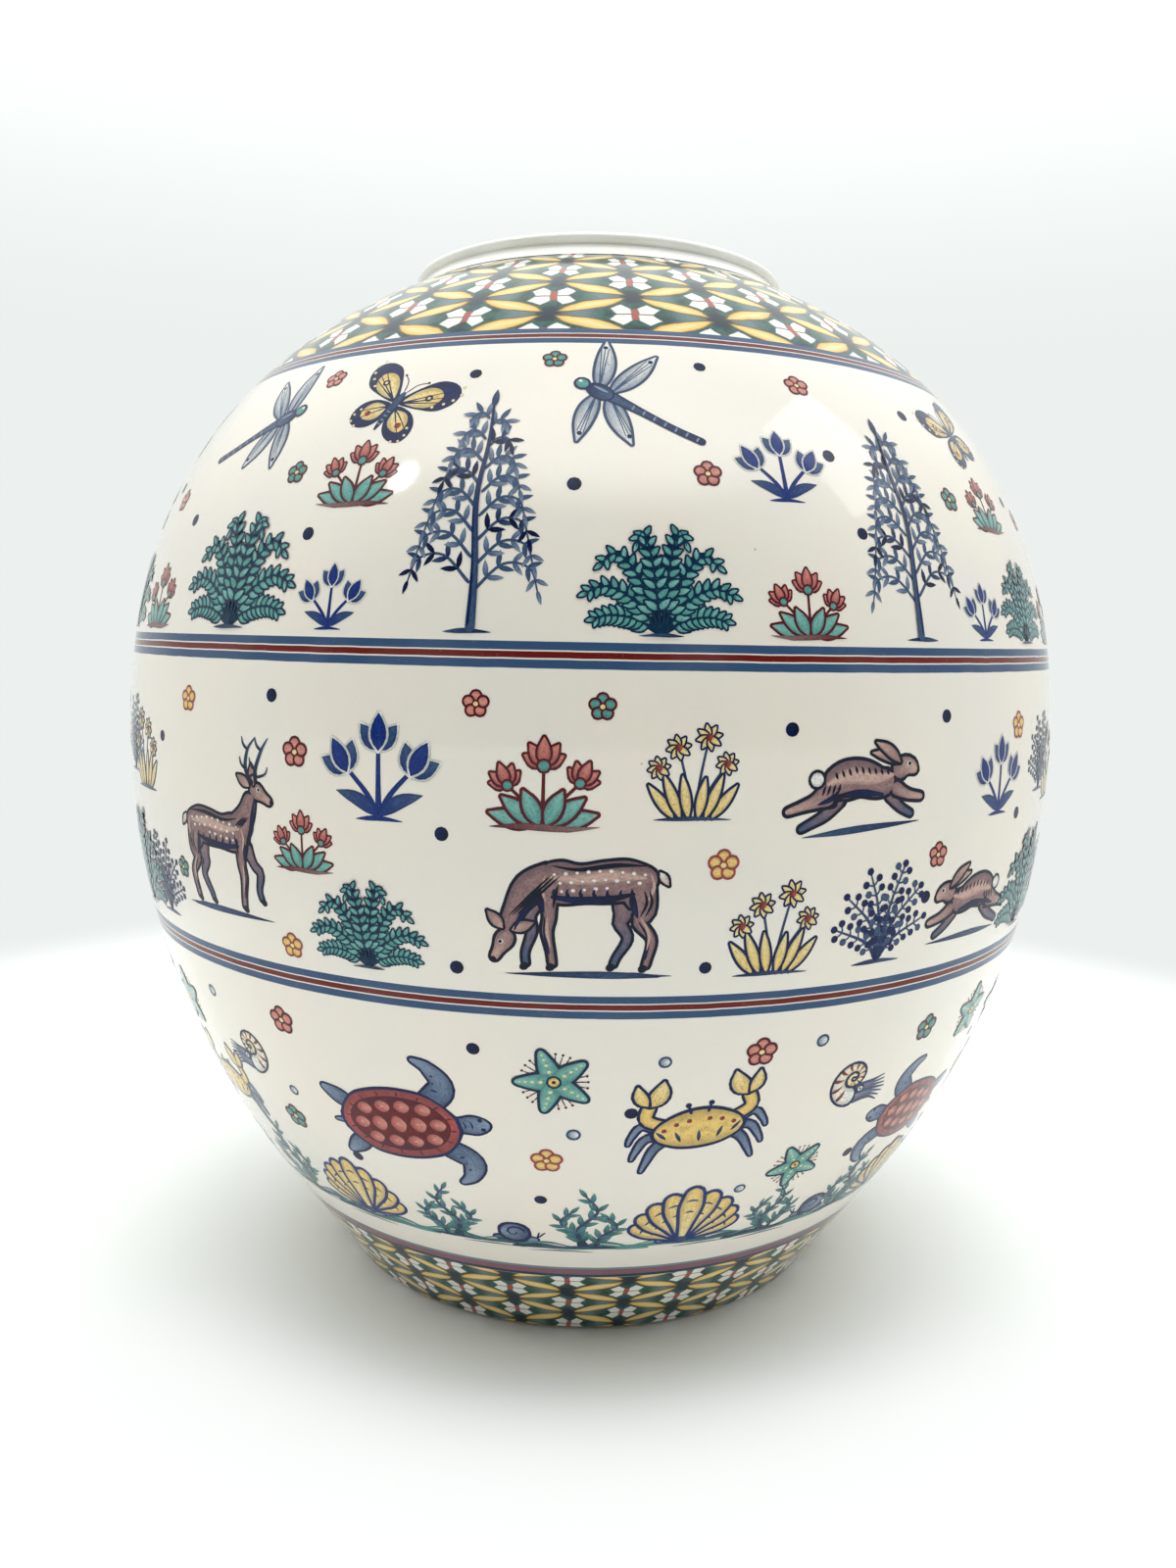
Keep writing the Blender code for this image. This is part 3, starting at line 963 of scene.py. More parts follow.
def painted(name, placed, start, outline, finish):
    """Lay motifs round the vase. Each is (ribbons, angle, height, scale, tilt), in degrees and millimetres.

    A scale below nought mirrors the motif.
    """
    places, faces, inks, strokes, boxes, bake, normals = [], [], [], [], [], [], []
    colors = paints()
    base = 0
    for strips, angle, height, scale, tilt in placed:
        flip, scale, tilt = scale < 0, abs(scale), math.radians(tilt)
        spin = np.array([[math.cos(tilt), math.sin(tilt)], [-math.sin(tilt), math.cos(tilt)]])
        step = min(PAINT_STEP, PAINT_DEPTH / max(1, max(ribbon.level for ribbon in strips)))
        for ribbon in strips:
            flat = ribbon.flat.reshape(-1, 2) * scale * (-1 if flip else 1, 1) @ spin
            walked = start + (height + flat[:, 1]) * MILLIMETRE
            radius, up = outline.at(walked)
            out = outline.normal(walked)
            lift = (PAINT_LIFT + ribbon.level * step) * MILLIMETRE
            turn = math.radians(angle) + flat[:, 0] * MILLIMETRE / radius
            radius, up = radius + out[0] * lift, up + out[1] * lift
            places.append(np.column_stack([radius * np.sin(turn), -radius * np.cos(turn), up]))
            normals.append(np.column_stack([out[0] * np.sin(turn), -out[0] * np.cos(turn), out[1]]))
            long, wide = len(ribbon.share), ribbon.columns + 1
            grid = base + np.arange(long * wide).reshape(long, wide)
            quads = np.stack([grid[:-1, :-1], grid[1:, :-1], grid[1:, 1:], grid[:-1, 1:]], -1).reshape(-1, 4)
            faces.append(quads[:, ::-1] if flip else quads)
            along, side = np.repeat(ribbon.share, wide), np.tile(ribbon.across, long)
            first, last = (np.array(getattr(colors, ink)) for ink in (ribbon.ink, ribbon.tip))
            inks.append(first * (1 - along[:, None]) + last * along[:, None])
            strokes.append(np.column_stack([along * ribbon.long + len(boxes) * INK_SHIFT, side]))
            boxes.append(tuple(max(measure * scale, least)
                               for measure, least in zip((ribbon.long, ribbon.wide), LEAST_ISLAND)))
            bake.append(np.column_stack([along, side / 2 + 0.5]))
            base += long * wide
    corners, share = shelf_map(boxes)
    for index, (spot, box) in enumerate(zip(bake, boxes)):
        spot *= (box[0] * share, box[1] * share)
        spot += corners[index]
    mesh = bpy.data.meshes.new(name)
    faces = np.vstack(faces)
    mesh.from_pydata(np.vstack(places).tolist(), [], faces.tolist())
    piece = bpy.data.objects.new(name, mesh)
    bpy.context.scene.collection.objects.link(piece)
    ink = mesh.color_attributes.new("ink", "FLOAT_COLOR", "POINT")
    inks = np.vstack(inks)
    ink.data.foreach_set("color", np.column_stack([inks, np.ones(len(inks))]).ravel())
    corner = faces.ravel()
    for label, values in (("brush", strokes), ("OFBake", bake)):
        layer = mesh.uv_layers.new(name=label)
        layer.uv.foreach_set("vector", np.vstack(values)[corner].ravel())
    mesh.polygons.foreach_set("use_smooth", [True] * len(mesh.polygons))
    mesh.normals_split_custom_set_from_vertices(np.vstack(normals).tolist())
    mesh.materials.append(finish)
    mesh.update()
    settle(piece, ())


# Motifs.


def polar(turn, reach):
    """A point at a distance from nought, turned by an angle in radians."""
    return math.cos(turn) * reach, math.sin(turn) * reach


def heading(line):
    """Where a line points at its end, in degrees."""
    (x0, y0), (x1, y1) = line[-2], line[-1]
    return math.degrees(math.atan2(y1 - y0, x1 - x0))


def spray(motif, line, count, size, width, spread, inks, rim=None, start=0.15, shrink=0.45):
    """Pairs of leaves along a stalk, smaller towards its end, with one leaf on its tip. Inks take turns."""
    place, side, _, _ = walk_stroke(np.array(line, float), np.array([0.1, 0.1]), 0)
    total = np.linspace(0, 1, len(place))
    for index in range(count):
        share = start + (1 - start) * index / count
        x, y = (np.interp(share, total, place[:, axis]) for axis in range(2))
        nx, ny = (np.interp(share, total, side[:, axis]) for axis in range(2))
        forward = math.degrees(math.atan2(-nx, ny))
        scale = 1 - shrink * share
        ink, tip = inks[index % len(inks)]
        for turn in (spread, -spread):
            motif.leaf(x, y, forward + turn, size * scale, width * scale, ink, tip, rim)
    ink, tip = inks[0]
    motif.leaf(*place[-2], heading(place), size * (1 - shrink) * 1.1, width * (1 - shrink), ink, tip, rim)


def ground_stroke(motif, left, right, ink, tip, weight=0.5, height=0.0):
    middle = (left + right) / 2
    motif.stroke([(left, height - 0.1), (middle, height + 0.15), (right, height - 0.1)],
                 (0.08, weight, weight * 0.8, 0.08), ink, tip)


def willow():
    """A slender sapling whose branches arch out and hang."""
    motif = Motif()
    ground_stroke(motif, -5, 4.5, "slate", "navy")
    for level in range(8):
        foot = 7.5 + 5.0 * level
        reach = 13.0 * (1 - level / 8.6) ** 0.8
        for side in (1, -1):
            height = foot + (1.7 if side < 0 else 0)
            line = [(0.3 * side, height), (side * reach * 0.45, height + reach * 0.42),
                    (side * reach * 0.85, height + reach * 0.36), (side * reach, height - reach * 0.02)]
            dark = (level + 2 * (side > 0)) % 4 == 0
            inks = (("pitch", "navy"), ("navy", "slate")) if dark else (("slate", "mist"), ("slate", "slate"))
            motif.stroke(line, (0.36, 0.26, 0.16), "slate")
            spray(motif, line, 5 if reach > 6 else 3, 3.7, 0.60, 48, inks, start=0.2, shrink=0.25)
    motif.stroke([(0.4, -0.2), (0.5, 12), (-0.5, 26), (0.4, 38), (0.1, 48)], (1.0, 0.72, 0.58, 0.42, 0.2),
                 "slate", "navy")
    motif.stroke([(-0.1, 1), (0.1, 10), (-0.8, 24)], (0.25, 0.2, 0.1), "navy")
    motif.leaf(0.1, 47, 88, 4.6, 0.7, "navy", "slate")
    return motif


def fern():
    """A fern whose fronds arch out of one foot, each with a row of leaflets on either side."""
    motif = Motif()
    lines = []
    for angle, size in ((166, 14), (14, 14), (147, 18), (33, 18), (125, 21), (55, 21), (103, 23.5), (78, 23)):
        x, y = polar(math.radians(angle), size)
        lines.append([(x * 0.03, 0.3), (x * 0.36, y * 0.62 + 1.2), (x * 0.78, y * 0.98 + 1.0),
                      (x * 1.12, y * 0.86 + 0.4)])
        motif.stroke(lines[-1], (0.3, 0.8, 1.9, 1.3, 0.2), "pine")
    for line in lines:
        spray(motif, line, 9, 3.9, 0.86, 52, (("teal", "sea"), ("teal", "teal")), "pine", start=0.20, shrink=0.5)
        motif.stroke(line, (0.34, 0.22, 0.10), "pine")
    ground_stroke(motif, -5, 5, "pine", "slate", 0.45)
    return motif


def tulips():
    """Three cobalt tulips between two long leaves."""
    motif = Motif()
    ground_stroke(motif, -3.4, 3.4, "cobalt", "cobalt", 0.35)
    for lean, tall in ((0, 9.4), (-4.6, 6.4), (4.6, 6.4)):
        motif.stroke([(0, 0.2), (lean * 0.35, tall * 0.5), (lean, tall)], (0.5, 0.36, 0.30), "cobalt")
        head = 90 - lean * 6
        for turn, size, tip in ((38, 4.3, "slate"), (-38, 4.3, "slate"), (0, 4.9, "cobalt")):
            motif.leaf(lean, tall - 0.5, head + turn, size, 1.15, "cobalt", tip, "white", 0.20)
    for side in (1, -1):
        motif.leaf(0, 0.4, 90 - side * 64, 7.0, 0.95, "cobalt", "slate", bend=side * 0.08)
    return motif


def pinks():
    """Three red pinks over a low rosette of teal leaves."""
    motif = Motif()
    heads = ((-5.6, 6.6, 0.85, 112), (5.8, 7.2, 0.85, 66), (0.1, 9.8, 1.05, 90))
    for x, y, _, _ in heads:
        motif.stroke([(0, 0.6), (x * 0.45, y * 0.55), (x, y)], (0.38, 0.30, 0.26), "maroon")
    for x, angle, size in ((-1.4, 166, 7.4), (1.4, 14, 7.4), (-1.0, 142, 7.0), (1.0, 38, 7.0), (-0.5, 116, 6.0),
                           (0.5, 64, 6.0)):
        motif.leaf(x, 0.5, angle, size, 1.25, "teal", "sea", "maroon", 0.34)
    for x, y, size, heading_up in heads:
        for spread, reach in ((62, 3.4), (-62, 3.4), (34, 3.9), (-34, 3.9), (0, 4.3)):
            motif.leaf(x, y, heading_up + spread, reach * size, 0.95 * size, "brick", "blush", "maroon", 0.26)
        motif.dot(x, y, 0.80 * size, "teal", "maroon", 0.24)
    motif.stroke([(-8.5, 0), (-3, 0.2), (4, -0.1), (9.0, 0.3)], (0.08, 0.55, 0.5, 0.08), "maroon", "plum")
    return motif


def butterfly(wing, light, dark):
    """A butterfly from above, its head upwards."""
    motif = Motif()
    half = Motif()
    half.stroke([(0.6, 0.2), (4.6, -3.6), (8.2, -7.4)], (0.8, 3.3, 3.7, 1.8), dark)
    half.stroke([(1.6, -0.8), (4.6, -3.4), (6.4, -5.2)], (0.6, 2.3, 2.3, 1.0), light, wing)
    half.stroke([(0.5, 1.4), (6.6, 5.2), (13.2, 9.0)], (0.8, 3.1, 4.4, 2.4), dark)
    half.stroke([(1.6, 1.9), (6.2, 4.8), (9.8, 6.9)], (0.5, 2.3, 2.9, 1.6), light, wing)
    for x, y in ((13.6, 8.6), (12.8, 6.6), (11.4, 4.9), (9.4, 3.2), (12.8, 10.6)):
        half.dot(x, y, 0.40, "cream")
    for x, y in ((8.3, -5.4), (7.9, -7.2), (6.2, -8.0), (7.6, -3.6)):
        half.dot(x, y, 0.36, "cream")
    for end in ((11.4, 9.2), (11.4, 7.0), (10.0, 4.8)):
        half.stroke([(1.2, 1.4), (end[0] * 0.55, end[1] * 0.5 + 0.6), end], (0.22, 0.15, 0.10), dark)
    for end in ((7.6, -4.2), (6.8, -6.2)):
        half.stroke([(1.0, -0.4), (end[0] * 0.5, end[1] * 0.5 + 0.3), end], (0.20, 0.14, 0.10), dark)
    half.dot(7.0, 5.0, 0.95, dark)
    half.dot(7.0, 5.0, 0.42, "cream")
    half.dot(5.0, -3.9, 0.80, "maroon", tip="brick")
    half.stroke([(0.3, 4.2), (1.6, 7.2), (3.6, 8.6)], (0.16, 0.12, 0.12), dark)
    half.dot(3.7, 8.7, 0.34, dark)
    for side in (1, -1):
        motif.add(half, side)
    motif.stroke([(0, -7.0), (0, -3.2), (0, 0.6), (0, 4.4)], (0.35, 0.85, 1.05, 0.60), dark, "slate")
    for y in (-5.2, -4.0, -2.8, -1.6):
        motif.stroke([(-0.7, y), (0.7, y)], (0.12, 0.16, 0.12), "mist")
    return motif


def dragonfly():
    """A dragonfly in flight, its head to the right."""
    motif = Motif()
    for x, angle, size, width in ((5.4, 118, 14.5, 1.9), (7.6, 84, 15.0, 1.8), (5.6, 236, 12.5, 1.8),
                                  (7.8, 276, 12.5, 1.7)):
        motif.leaf(x, 2.2 if angle < 180 else 1.4, angle, size, width, "mist", "white", "slate", 0.36, bend=0.03)
        turn = math.radians(angle)
        for side in (-0.5, 0, 0.5):
            right, up = polar(turn + side * 0.12, size)
            tip = (x + right * 0.86, 1.8 + up * 0.86)
            motif.stroke([(x, 1.8), ((x + tip[0]) / 2, (tip[1] + 1.8) / 2), tip], (0.16, 0.12, 0.10), "slate")
        right, up = polar(turn, size)
        motif.dot(x + right * 0.88, 1.8 + up * 0.88, 0.50, "navy")
    motif.stroke([(-15.0, -4.6), (-8, -3.0), (0, -0.4), (6.0, 1.6)], (0.55, 0.50, 0.62, 1.2), "navy", "slate",
                 "navy", 0.2)
    for index in range(7):
        x = -13.6 + index * 2.3
        y = np.interp(x, (-15.0, -8, 0, 6), (-4.6, -3.0, -0.4, 1.6))
        motif.stroke([(x + 0.12, y - 0.55), (x - 0.12, y + 0.55)], (0.18, 0.22, 0.18), "mist")
    motif.stroke([(4.8, 1.2), (7.6, 2.1), (10.0, 2.9)], (1.1, 1.75, 0.9), "slate", "navy", "navy", 0.25)
    motif.stroke([(5.8, 2.2), (8.8, 3.2)], (0.2, 0.35, 0.2), "mist")
    motif.dot(11.2, 3.3, 1.25, "teal", "navy", 0.3)
    motif.dot(11.7, 3.9, 0.40, "white")
    return motif


LIMBS = {
    "hind": [(-10.6, 20.5), (-12.4, 15.0), (-11.4, 12.2), (-14.2, 8.2), (-13.4, 3.4), (-12.9, 1.5)],
    "far_hind": [(-8.6, 19.0), (-7.8, 14.0), (-7.2, 12.0), (-8.9, 8.4), (-6.6, 4.0), (-5.8, 1.8)],
    "fore": [(8.8, 19.0), (8.2, 13.5), (8.7, 9.8), (7.8, 4.8), (7.4, 1.6)],
    "far_fore": [(10.4, 18.5), (13.0, 13.6), (15.0, 11.6), (14.0, 7.2), (14.6, 4.4)],
}
LIMB_WIDTHS = {"hind": (4.2, 3.0, 1.5, 0.95, 0.66, 0.60), "far_hind": (3.4, 2.2, 1.2, 0.85, 0.62, 0.55),
               "fore": (2.5, 1.35, 1.05, 0.68, 0.62), "far_fore": (2.2, 1.15, 0.95, 0.62, 0.55)}


def hoof(motif, x, y):
    motif.stroke([(x - 0.4, y + 0.3), (x + 1.4, y - 0.9)], (0.70, 0.95, 0.6), "pitch")


def deer(grazing, antlers):
    """A spotted deer that walks to the right, or grazes."""
    motif = Motif()
    ground_stroke(motif, -19, 18, "slate", "navy", 0.85, -0.5)
    motif.stroke([(-16.5, -0.8), (-10, -0.4), (-3, -1.0)], (0.2, 0.75, 0.1), "navy", "slate")
    limbs = dict(LIMBS)
    if grazing:
        limbs["far_fore"] = [(9.8, 18.5), (12.4, 13.5), (12.0, 9.6), (13.4, 4.8), (13.2, 1.6)]
        neck = [(6.8, 21.6), (12.6, 19.4), (16.2, 13.8), (17.6, 9.0)]
        neck_widths = (4.2, 3.5, 2.2, 1.6)
        head = [(17.0, 9.6), (18.2, 7.2), (19.8, 4.2), (20.6, 2.6)]
        ears = ((16.4, 9.8, 158), (18.4, 10.2, 48))
        eye, nose, crown = (18.9, 7.0), (20.6, 2.7), (17.0, 10.4)
        throat = [(9.4, 17.4), (11.9, 16.5), (14.5, 12.9), (15.9, 9.8)]
    else:
        neck = [(7.6, 21.6), (11.4, 26.2), (13.7, 31.4)]
        neck_widths = (4.3, 2.9, 1.8)
        head = [(13.4, 32.4), (15.6, 32.4), (18.8, 30.8), (20.6, 29.8)]
        ears = ((13.2, 33.4, 150), (14.8, 33.8, 100))
        eye, nose, crown = (16.3, 32.8), (20.8, 30.0), (14.6, 34.0)
        throat = [(10.8, 18.6), (13.0, 22.4), (13.8, 26.4), (14.9, 30.6)]
    for name in ("far_hind", "far_fore"):
        motif.stroke(limbs[name], LIMB_WIDTHS[name], "plum", "slate", "pitch", 0.42)
    motif.figure([
        ([(-15.0, 21.4), (-12.0, 22.0), (-5.0, 21.4), (3.0, 20.8), (9.0, 21.6), (11.6, 22.6)],
         (1.6, 4.2, 4.5, 4.1, 4.6, 2.6), "plum", "plum"),
        (neck, neck_widths, "plum", "plum"),
        (head, (1.5, 1.95, 1.15, 0.8), "plum", "fawn"),
        (limbs["hind"], LIMB_WIDTHS["hind"], "plum", "plum"),
        (limbs["fore"], LIMB_WIDTHS["fore"], "plum", "plum"),
    ], "pitch", 0.46)
    for x, y, angle in ears:
        motif.leaf(x, y, angle, 5.2, 1.15, "fawn", "plum", "pitch", 0.38)
    motif.leaf(-15.6, 23.6, 236, 3.6, 0.8, "white", "fawn", "pitch", 0.38)
    motif.stroke([(-12.8, 22.3), (-6, 22.7), (2, 21.8), (8.6, 22.2)], (0.3, 1.35, 1.25, 0.3), "fawn")
    motif.stroke([(-13.0, 25.0), (-6, 25.1), (2, 24.0), (8.0, 24.8)], (0.1, 0.52, 0.46, 0.1), "pitch")
    for line, widths in (([(-10.4, 18.8), (-4.6, 17.5), (2.6, 17.2), (8.0, 17.8)], (0.3, 0.85, 0.80, 0.5)),
                         ([(-9.6, 20.0), (-9.9, 16.6), (-11.0, 13.2)], (0.15, 0.85, 0.25)),
                         ([(9.6, 20.4), (10.0, 17.6), (9.4, 14.2)], (0.10, 0.60, 0.20)),
                         ([(-11.2, 12.4), (-13.4, 8.4), (-12.9, 3.4)], (0.15, 0.36, 0.28)),
                         ([(9.2, 13.2), (9.2, 9.6), (8.2, 4.4)], (0.12, 0.34, 0.26)),
                         (throat, (0.3, 0.8, 0.6, 0.15))):
        motif.stroke(line, widths, "pitch", "navy")
    for line in ([(-13.6, 23.4), (-14.4, 20.2), (-12.8, 16.4)], [(9.2, 22.6), (9.8, 19.6), (9.0, 16.4)],
                 [(-11.6, 13.4), (-13.6, 9.4), (-13.2, 5.6)], [(8.6, 13.6), (8.7, 9.8), (7.8, 5.6)]):
        motif.stroke(line, (0.08, 0.42, 0.08), "fawn")
    for row, (height, first, count) in enumerate(((23.9, -12.4, 9), (21.9, -11.2, 8), (20.0, -4.2, 5))):
        for index in range(count):
            x = first + index * 2.45
            motif.dot(x, height - 0.10 * abs(x + 4), 0.46 if (index + row) % 2 else 0.36, "white")
    for index in range(6):
        x = -7.6 + index * 2.9
        motif.stroke([(x, 17.8), (x + 0.5, 18.8), (x + 0.2, 19.7)], (0.55, 0.38, 0.08), "pitch", "navy")
    for shift in (0.0, 1.1):
        motif.stroke([(-13.4 + shift, 19.6), (-14.0 + shift, 16.6), (-12.6 + shift, 13.4)], (0.1, 0.36, 0.1),
                     "pitch")
    root, middle = neck[0], neck[len(neck) // 2]
    for shift in (-0.9, 0.2, 1.2):
        motif.stroke([(root[0] + shift, root[1] + 1.0), (middle[0] + shift * 0.7, middle[1] - 0.6)],
                     (0.1, 0.34, 0.1), "pitch")
    motif.stroke([(6.4, 20.6), (7.0, 17.8), (7.4, 15.0)], (0.1, 0.42, 0.1), "pitch")
    motif.dot(*eye, 0.62, "white")
    motif.dot(eye[0] + 0.1, eye[1], 0.42, "pitch")
    motif.dot(*nose, 0.72, "pitch")
    if antlers:
        for lean in (0.0, 2.6):
            x, y = crown[0] + lean * 0.35, crown[1]
            beam = [(x, y), (x - 2.6 + lean, y + 3.6), (x - 1.8 + lean * 1.5, y + 8.4),
                    (x + 1.0 + lean * 1.3, y + 11.6)]
            motif.stroke(beam, (0.6, 0.58, 0.46, 0.18), "pitch", "slate")
            for (bx, by), reach in zip(beam[1:3], (3.0, 3.2)):
                motif.stroke([(bx, by), (bx - 1.6, by + reach * 0.4), (bx - 2.2, by + reach)], (0.42, 0.34, 0.14),
                             "pitch", "slate")
            motif.stroke([(x - 1.4 + lean * 0.7, y + 1.8), (x + 0.8 + lean, y + 2.8), (x + 1.6 + lean, y + 4.6)],
                         (0.40, 0.32, 0.14), "pitch", "slate")
    for name in ("hind", "far_hind", "fore", "far_fore"):
        hoof(motif, *limbs[name][-1])
    return motif


def hare():
    """A hare that runs to the right with its ears back."""
    motif = Motif()
    ground_stroke(motif, -14, 14, "slate", "navy", 0.7)
    motif.stroke([(-5.6, 7.4), (-8.6, 4.0), (-12.6, 2.2), (-14.6, 1.4)], (2.2, 1.1, 0.7, 0.5), "plum", "slate",
                 "pitch", 0.38)
    motif.stroke([(5.4, 6.8), (8.6, 3.4), (12.0, 1.4)], (1.3, 0.75, 0.5), "plum", "slate", "pitch", 0.38)
    motif.figure([
        ([(-8.4, 8.2), (-5.6, 9.6), (-1.0, 10.0), (3.6, 8.6), (7.2, 8.8)], (2.4, 3.5, 3.3, 2.8, 2.0),
         "plum", "plum"),
        ([(7.4, 9.6), (9.4, 11.0), (11.4, 11.0), (13.2, 9.8)], (1.8, 1.9, 1.6, 0.7), "plum", "fawn"),
        ([(-7.6, 8.0), (-10.8, 6.6), (-14.0, 5.8), (-17.4, 5.0)], (3.0, 1.4, 0.8, 0.55), "plum", "fawn"),
        ([(6.8, 7.6), (10.6, 5.6), (14.8, 4.6)], (1.5, 0.85, 0.55), "plum", "fawn"),
    ], "pitch", 0.44)
    for angle in (160, 143):
        motif.leaf(8.9, 12.0, angle, 7.4, 0.95, "plum", "fawn", "pitch", 0.38, bend=-0.05)
    motif.dot(-10.6, 10.6, 1.35, "white", "pitch", 0.36)
    motif.stroke([(-8.6, 9.4), (-3.4, 10.6), (2.6, 9.6), (7.2, 9.8)], (0.4, 1.5, 1.3, 0.4), "fawn")
    motif.stroke([(-7.4, 6.9), (-1, 7.1), (4.6, 6.2)], (0.3, 0.75, 0.35), "pitch", "navy")
    motif.stroke([(-5.4, 8.6), (-7.4, 6.8), (-10.8, 5.8)], (0.1, 0.55, 0.15), "pitch", "navy")
    for index in range(9):
        x, away = -6.6 + index * 1.5, abs(index - 3)
        motif.stroke([(x, 12.4 - away * 0.25), (x + 0.5, 10.8 - away * 0.2)], (0.08, 0.32, 0.08), "pitch")
    for index in range(4):
        motif.stroke([(-8.8 + index * 1.1, 9.4), (-9.6 + index * 1.1, 7.4)], (0.08, 0.30, 0.08), "pitch")
    motif.dot(11.2, 11.5, 0.58, "white")
    motif.dot(11.3, 11.5, 0.40, "pitch")
    motif.dot(13.6, 9.9, 0.44, "pitch")
    return motif


def daisies():
    """Yellow daisies on dark stalks over a tuft of pale blades."""
    motif = Motif()
    heads = ((-6.2, 9.0, 1.9), (6.0, 9.8, 1.9), (-2.8, 12.6, 2.1), (2.6, 14.4, 2.3))
    for x, y, _ in heads:
        motif.stroke([(x * 0.15, 0.4), (x * 0.45, y * 0.5), (x, y)], (0.34, 0.26, 0.22), "navy", "slate")
    for x, angle, size in ((-3.4, 128, 7.4), (3.4, 52, 7.4), (-2.2, 112, 8.2), (2.2, 68, 8.2), (-0.8, 99, 7.6),
                           (0.9, 80, 7.2)):
        motif.leaf(x, 0.2, angle, size, 0.82, "sun", "cream", "navy", 0.30)
    for x, y, size in heads:
        for index in range(8):
            motif.leaf(x, y, 12 + 45 * index, size, 0.50, "sun", "cream", "navy", 0.22)
        motif.dot(x, y, 0.66, "maroon", tip="brick")
    ground_stroke(motif, -7, 7, "navy", "slate", 0.4)
    return motif


def berries():
    """A slate shrub of fine twigs set with round berries."""
    motif = Motif()
    ground_stroke(motif, -5, 5, "navy", "slate", 0.4)
    ends = ((-9.4, 6.4), (9.4, 6.8), (-7.8, 11.6), (7.6, 12.2), (-3.8, 15.4), (3.4, 16.2))
    for number, (x, y) in enumerate(ends):
        line = np.array([(0, 0.2), (x * 0.30, y * 0.56), (x, y)], float)
        motif.stroke(line, (0.42, 0.26, 0.14), "navy", "slate")
        place, side, _, _ = walk_stroke(line, np.array([0.1, 0.1]), 0)
        for index in range(4, len(place) - 1, 2):
            for turn in (1, -1):
                spot = place[index] + side[index] * 1.35 * turn
                motif.stroke([place[index - 1], spot], (0.16, 0.12), "slate")
                motif.dot(*spot, 0.62, "navy" if (index // 2 + number + turn) % 3 else "slate")
        motif.dot(*place[-1], 0.62, "navy")
    return motif


def turtle():
    """A turtle that swims to the right, seen from above."""
    motif = Motif()
    for flip in (1, -1):
        motif.stroke([(7.0, flip * 4.5), (12.4, flip * 9.0), (11.0, flip * 13.4), (8.0, flip * 15.6)],
                     (2.0, 2.4, 1.7, 0.4), "slate", "mist", "navy", 0.34)
        motif.stroke([(-9.0, flip * 4.0), (-13.4, flip * 7.0), (-15.6, flip * 8.6)], (1.5, 1.8, 0.6),
                     "slate", "mist", "navy", 0.34)
        for share in (0.2, 0.45, 0.7):
            motif.stroke([(9.4 + 3 * share, flip * (7.4 + 6 * share)), (11.6 - share, flip * (6.6 + 7.4 * share))],
                         (0.1, 0.26, 0.1), "navy")
    motif.stroke([(10.6, 0), (14.2, 0), (17.4, 0), (19.2, 0)], (1.6, 1.7, 2.1, 1.0), "slate", "mist", "navy", 0.34)
    motif.stroke([(-11, 0), (-15.6, 0)], (0.9, 0.2), "slate", "mist", "navy", 0.28)
    motif.stroke([(-13.0, 0), (0, 0), (12.8, 0)], (2.6, 6.6, 8.0, 8.4, 8.0, 6.6, 2.6), "brick", "brick",
                 "navy", 0.45)
    motif.stroke([(-11.4, 0), (0, 0), (11.2, 0)], (2.2, 5.3, 6.5, 6.9, 6.5, 5.3, 2.2), "maroon")
    for x, wide in ((-8.6, 1.5), (-4.4, 1.9), (0, 2.1), (4.4, 1.9), (8.6, 1.5)):
        motif.stroke([(x - 1.7, 0), (x, 0), (x + 1.7, 0)], (wide * 0.55, wide, wide * 0.55), "brick", "blush")
        motif.stroke([(x - 0.6, 0), (x + 0.7, 0)], (0.3, 0.5, 0.3), "blush")
    for x in (-6.6, -2.2, 2.2, 6.6):
        for flip in (1, -1):
            height = 4.35 if abs(x) < 4 else 3.7
            motif.stroke([(x - 1.7, flip * height), (x, flip * height), (x + 1.7, flip * height)], (0.8, 1.5, 0.8),
                         "brick", "blush")
            motif.stroke([(x - 0.5, flip * height), (x + 0.6, flip * height)], (0.3, 0.42, 0.3), "blush")
    for index in range(16):
        turn = math.radians(11.25 + 22.5 * index)
        inner = (10.6 * math.cos(turn), 6.9 * math.sin(turn))
        outer = (12.4 * math.cos(turn), 8.2 * math.sin(turn))
        motif.stroke([inner, outer], (0.14, 0.18, 0.14), "maroon")
    for flip in (1, -1):
        motif.dot(17.6, flip * 1.15, 0.48, "navy")
    for x in (12.6, 14.0, 15.4):
        motif.stroke([(x, -1.0), (x + 0.3, 0), (x, 1.0)], (0.1, 0.2, 0.1), "navy")
    return motif


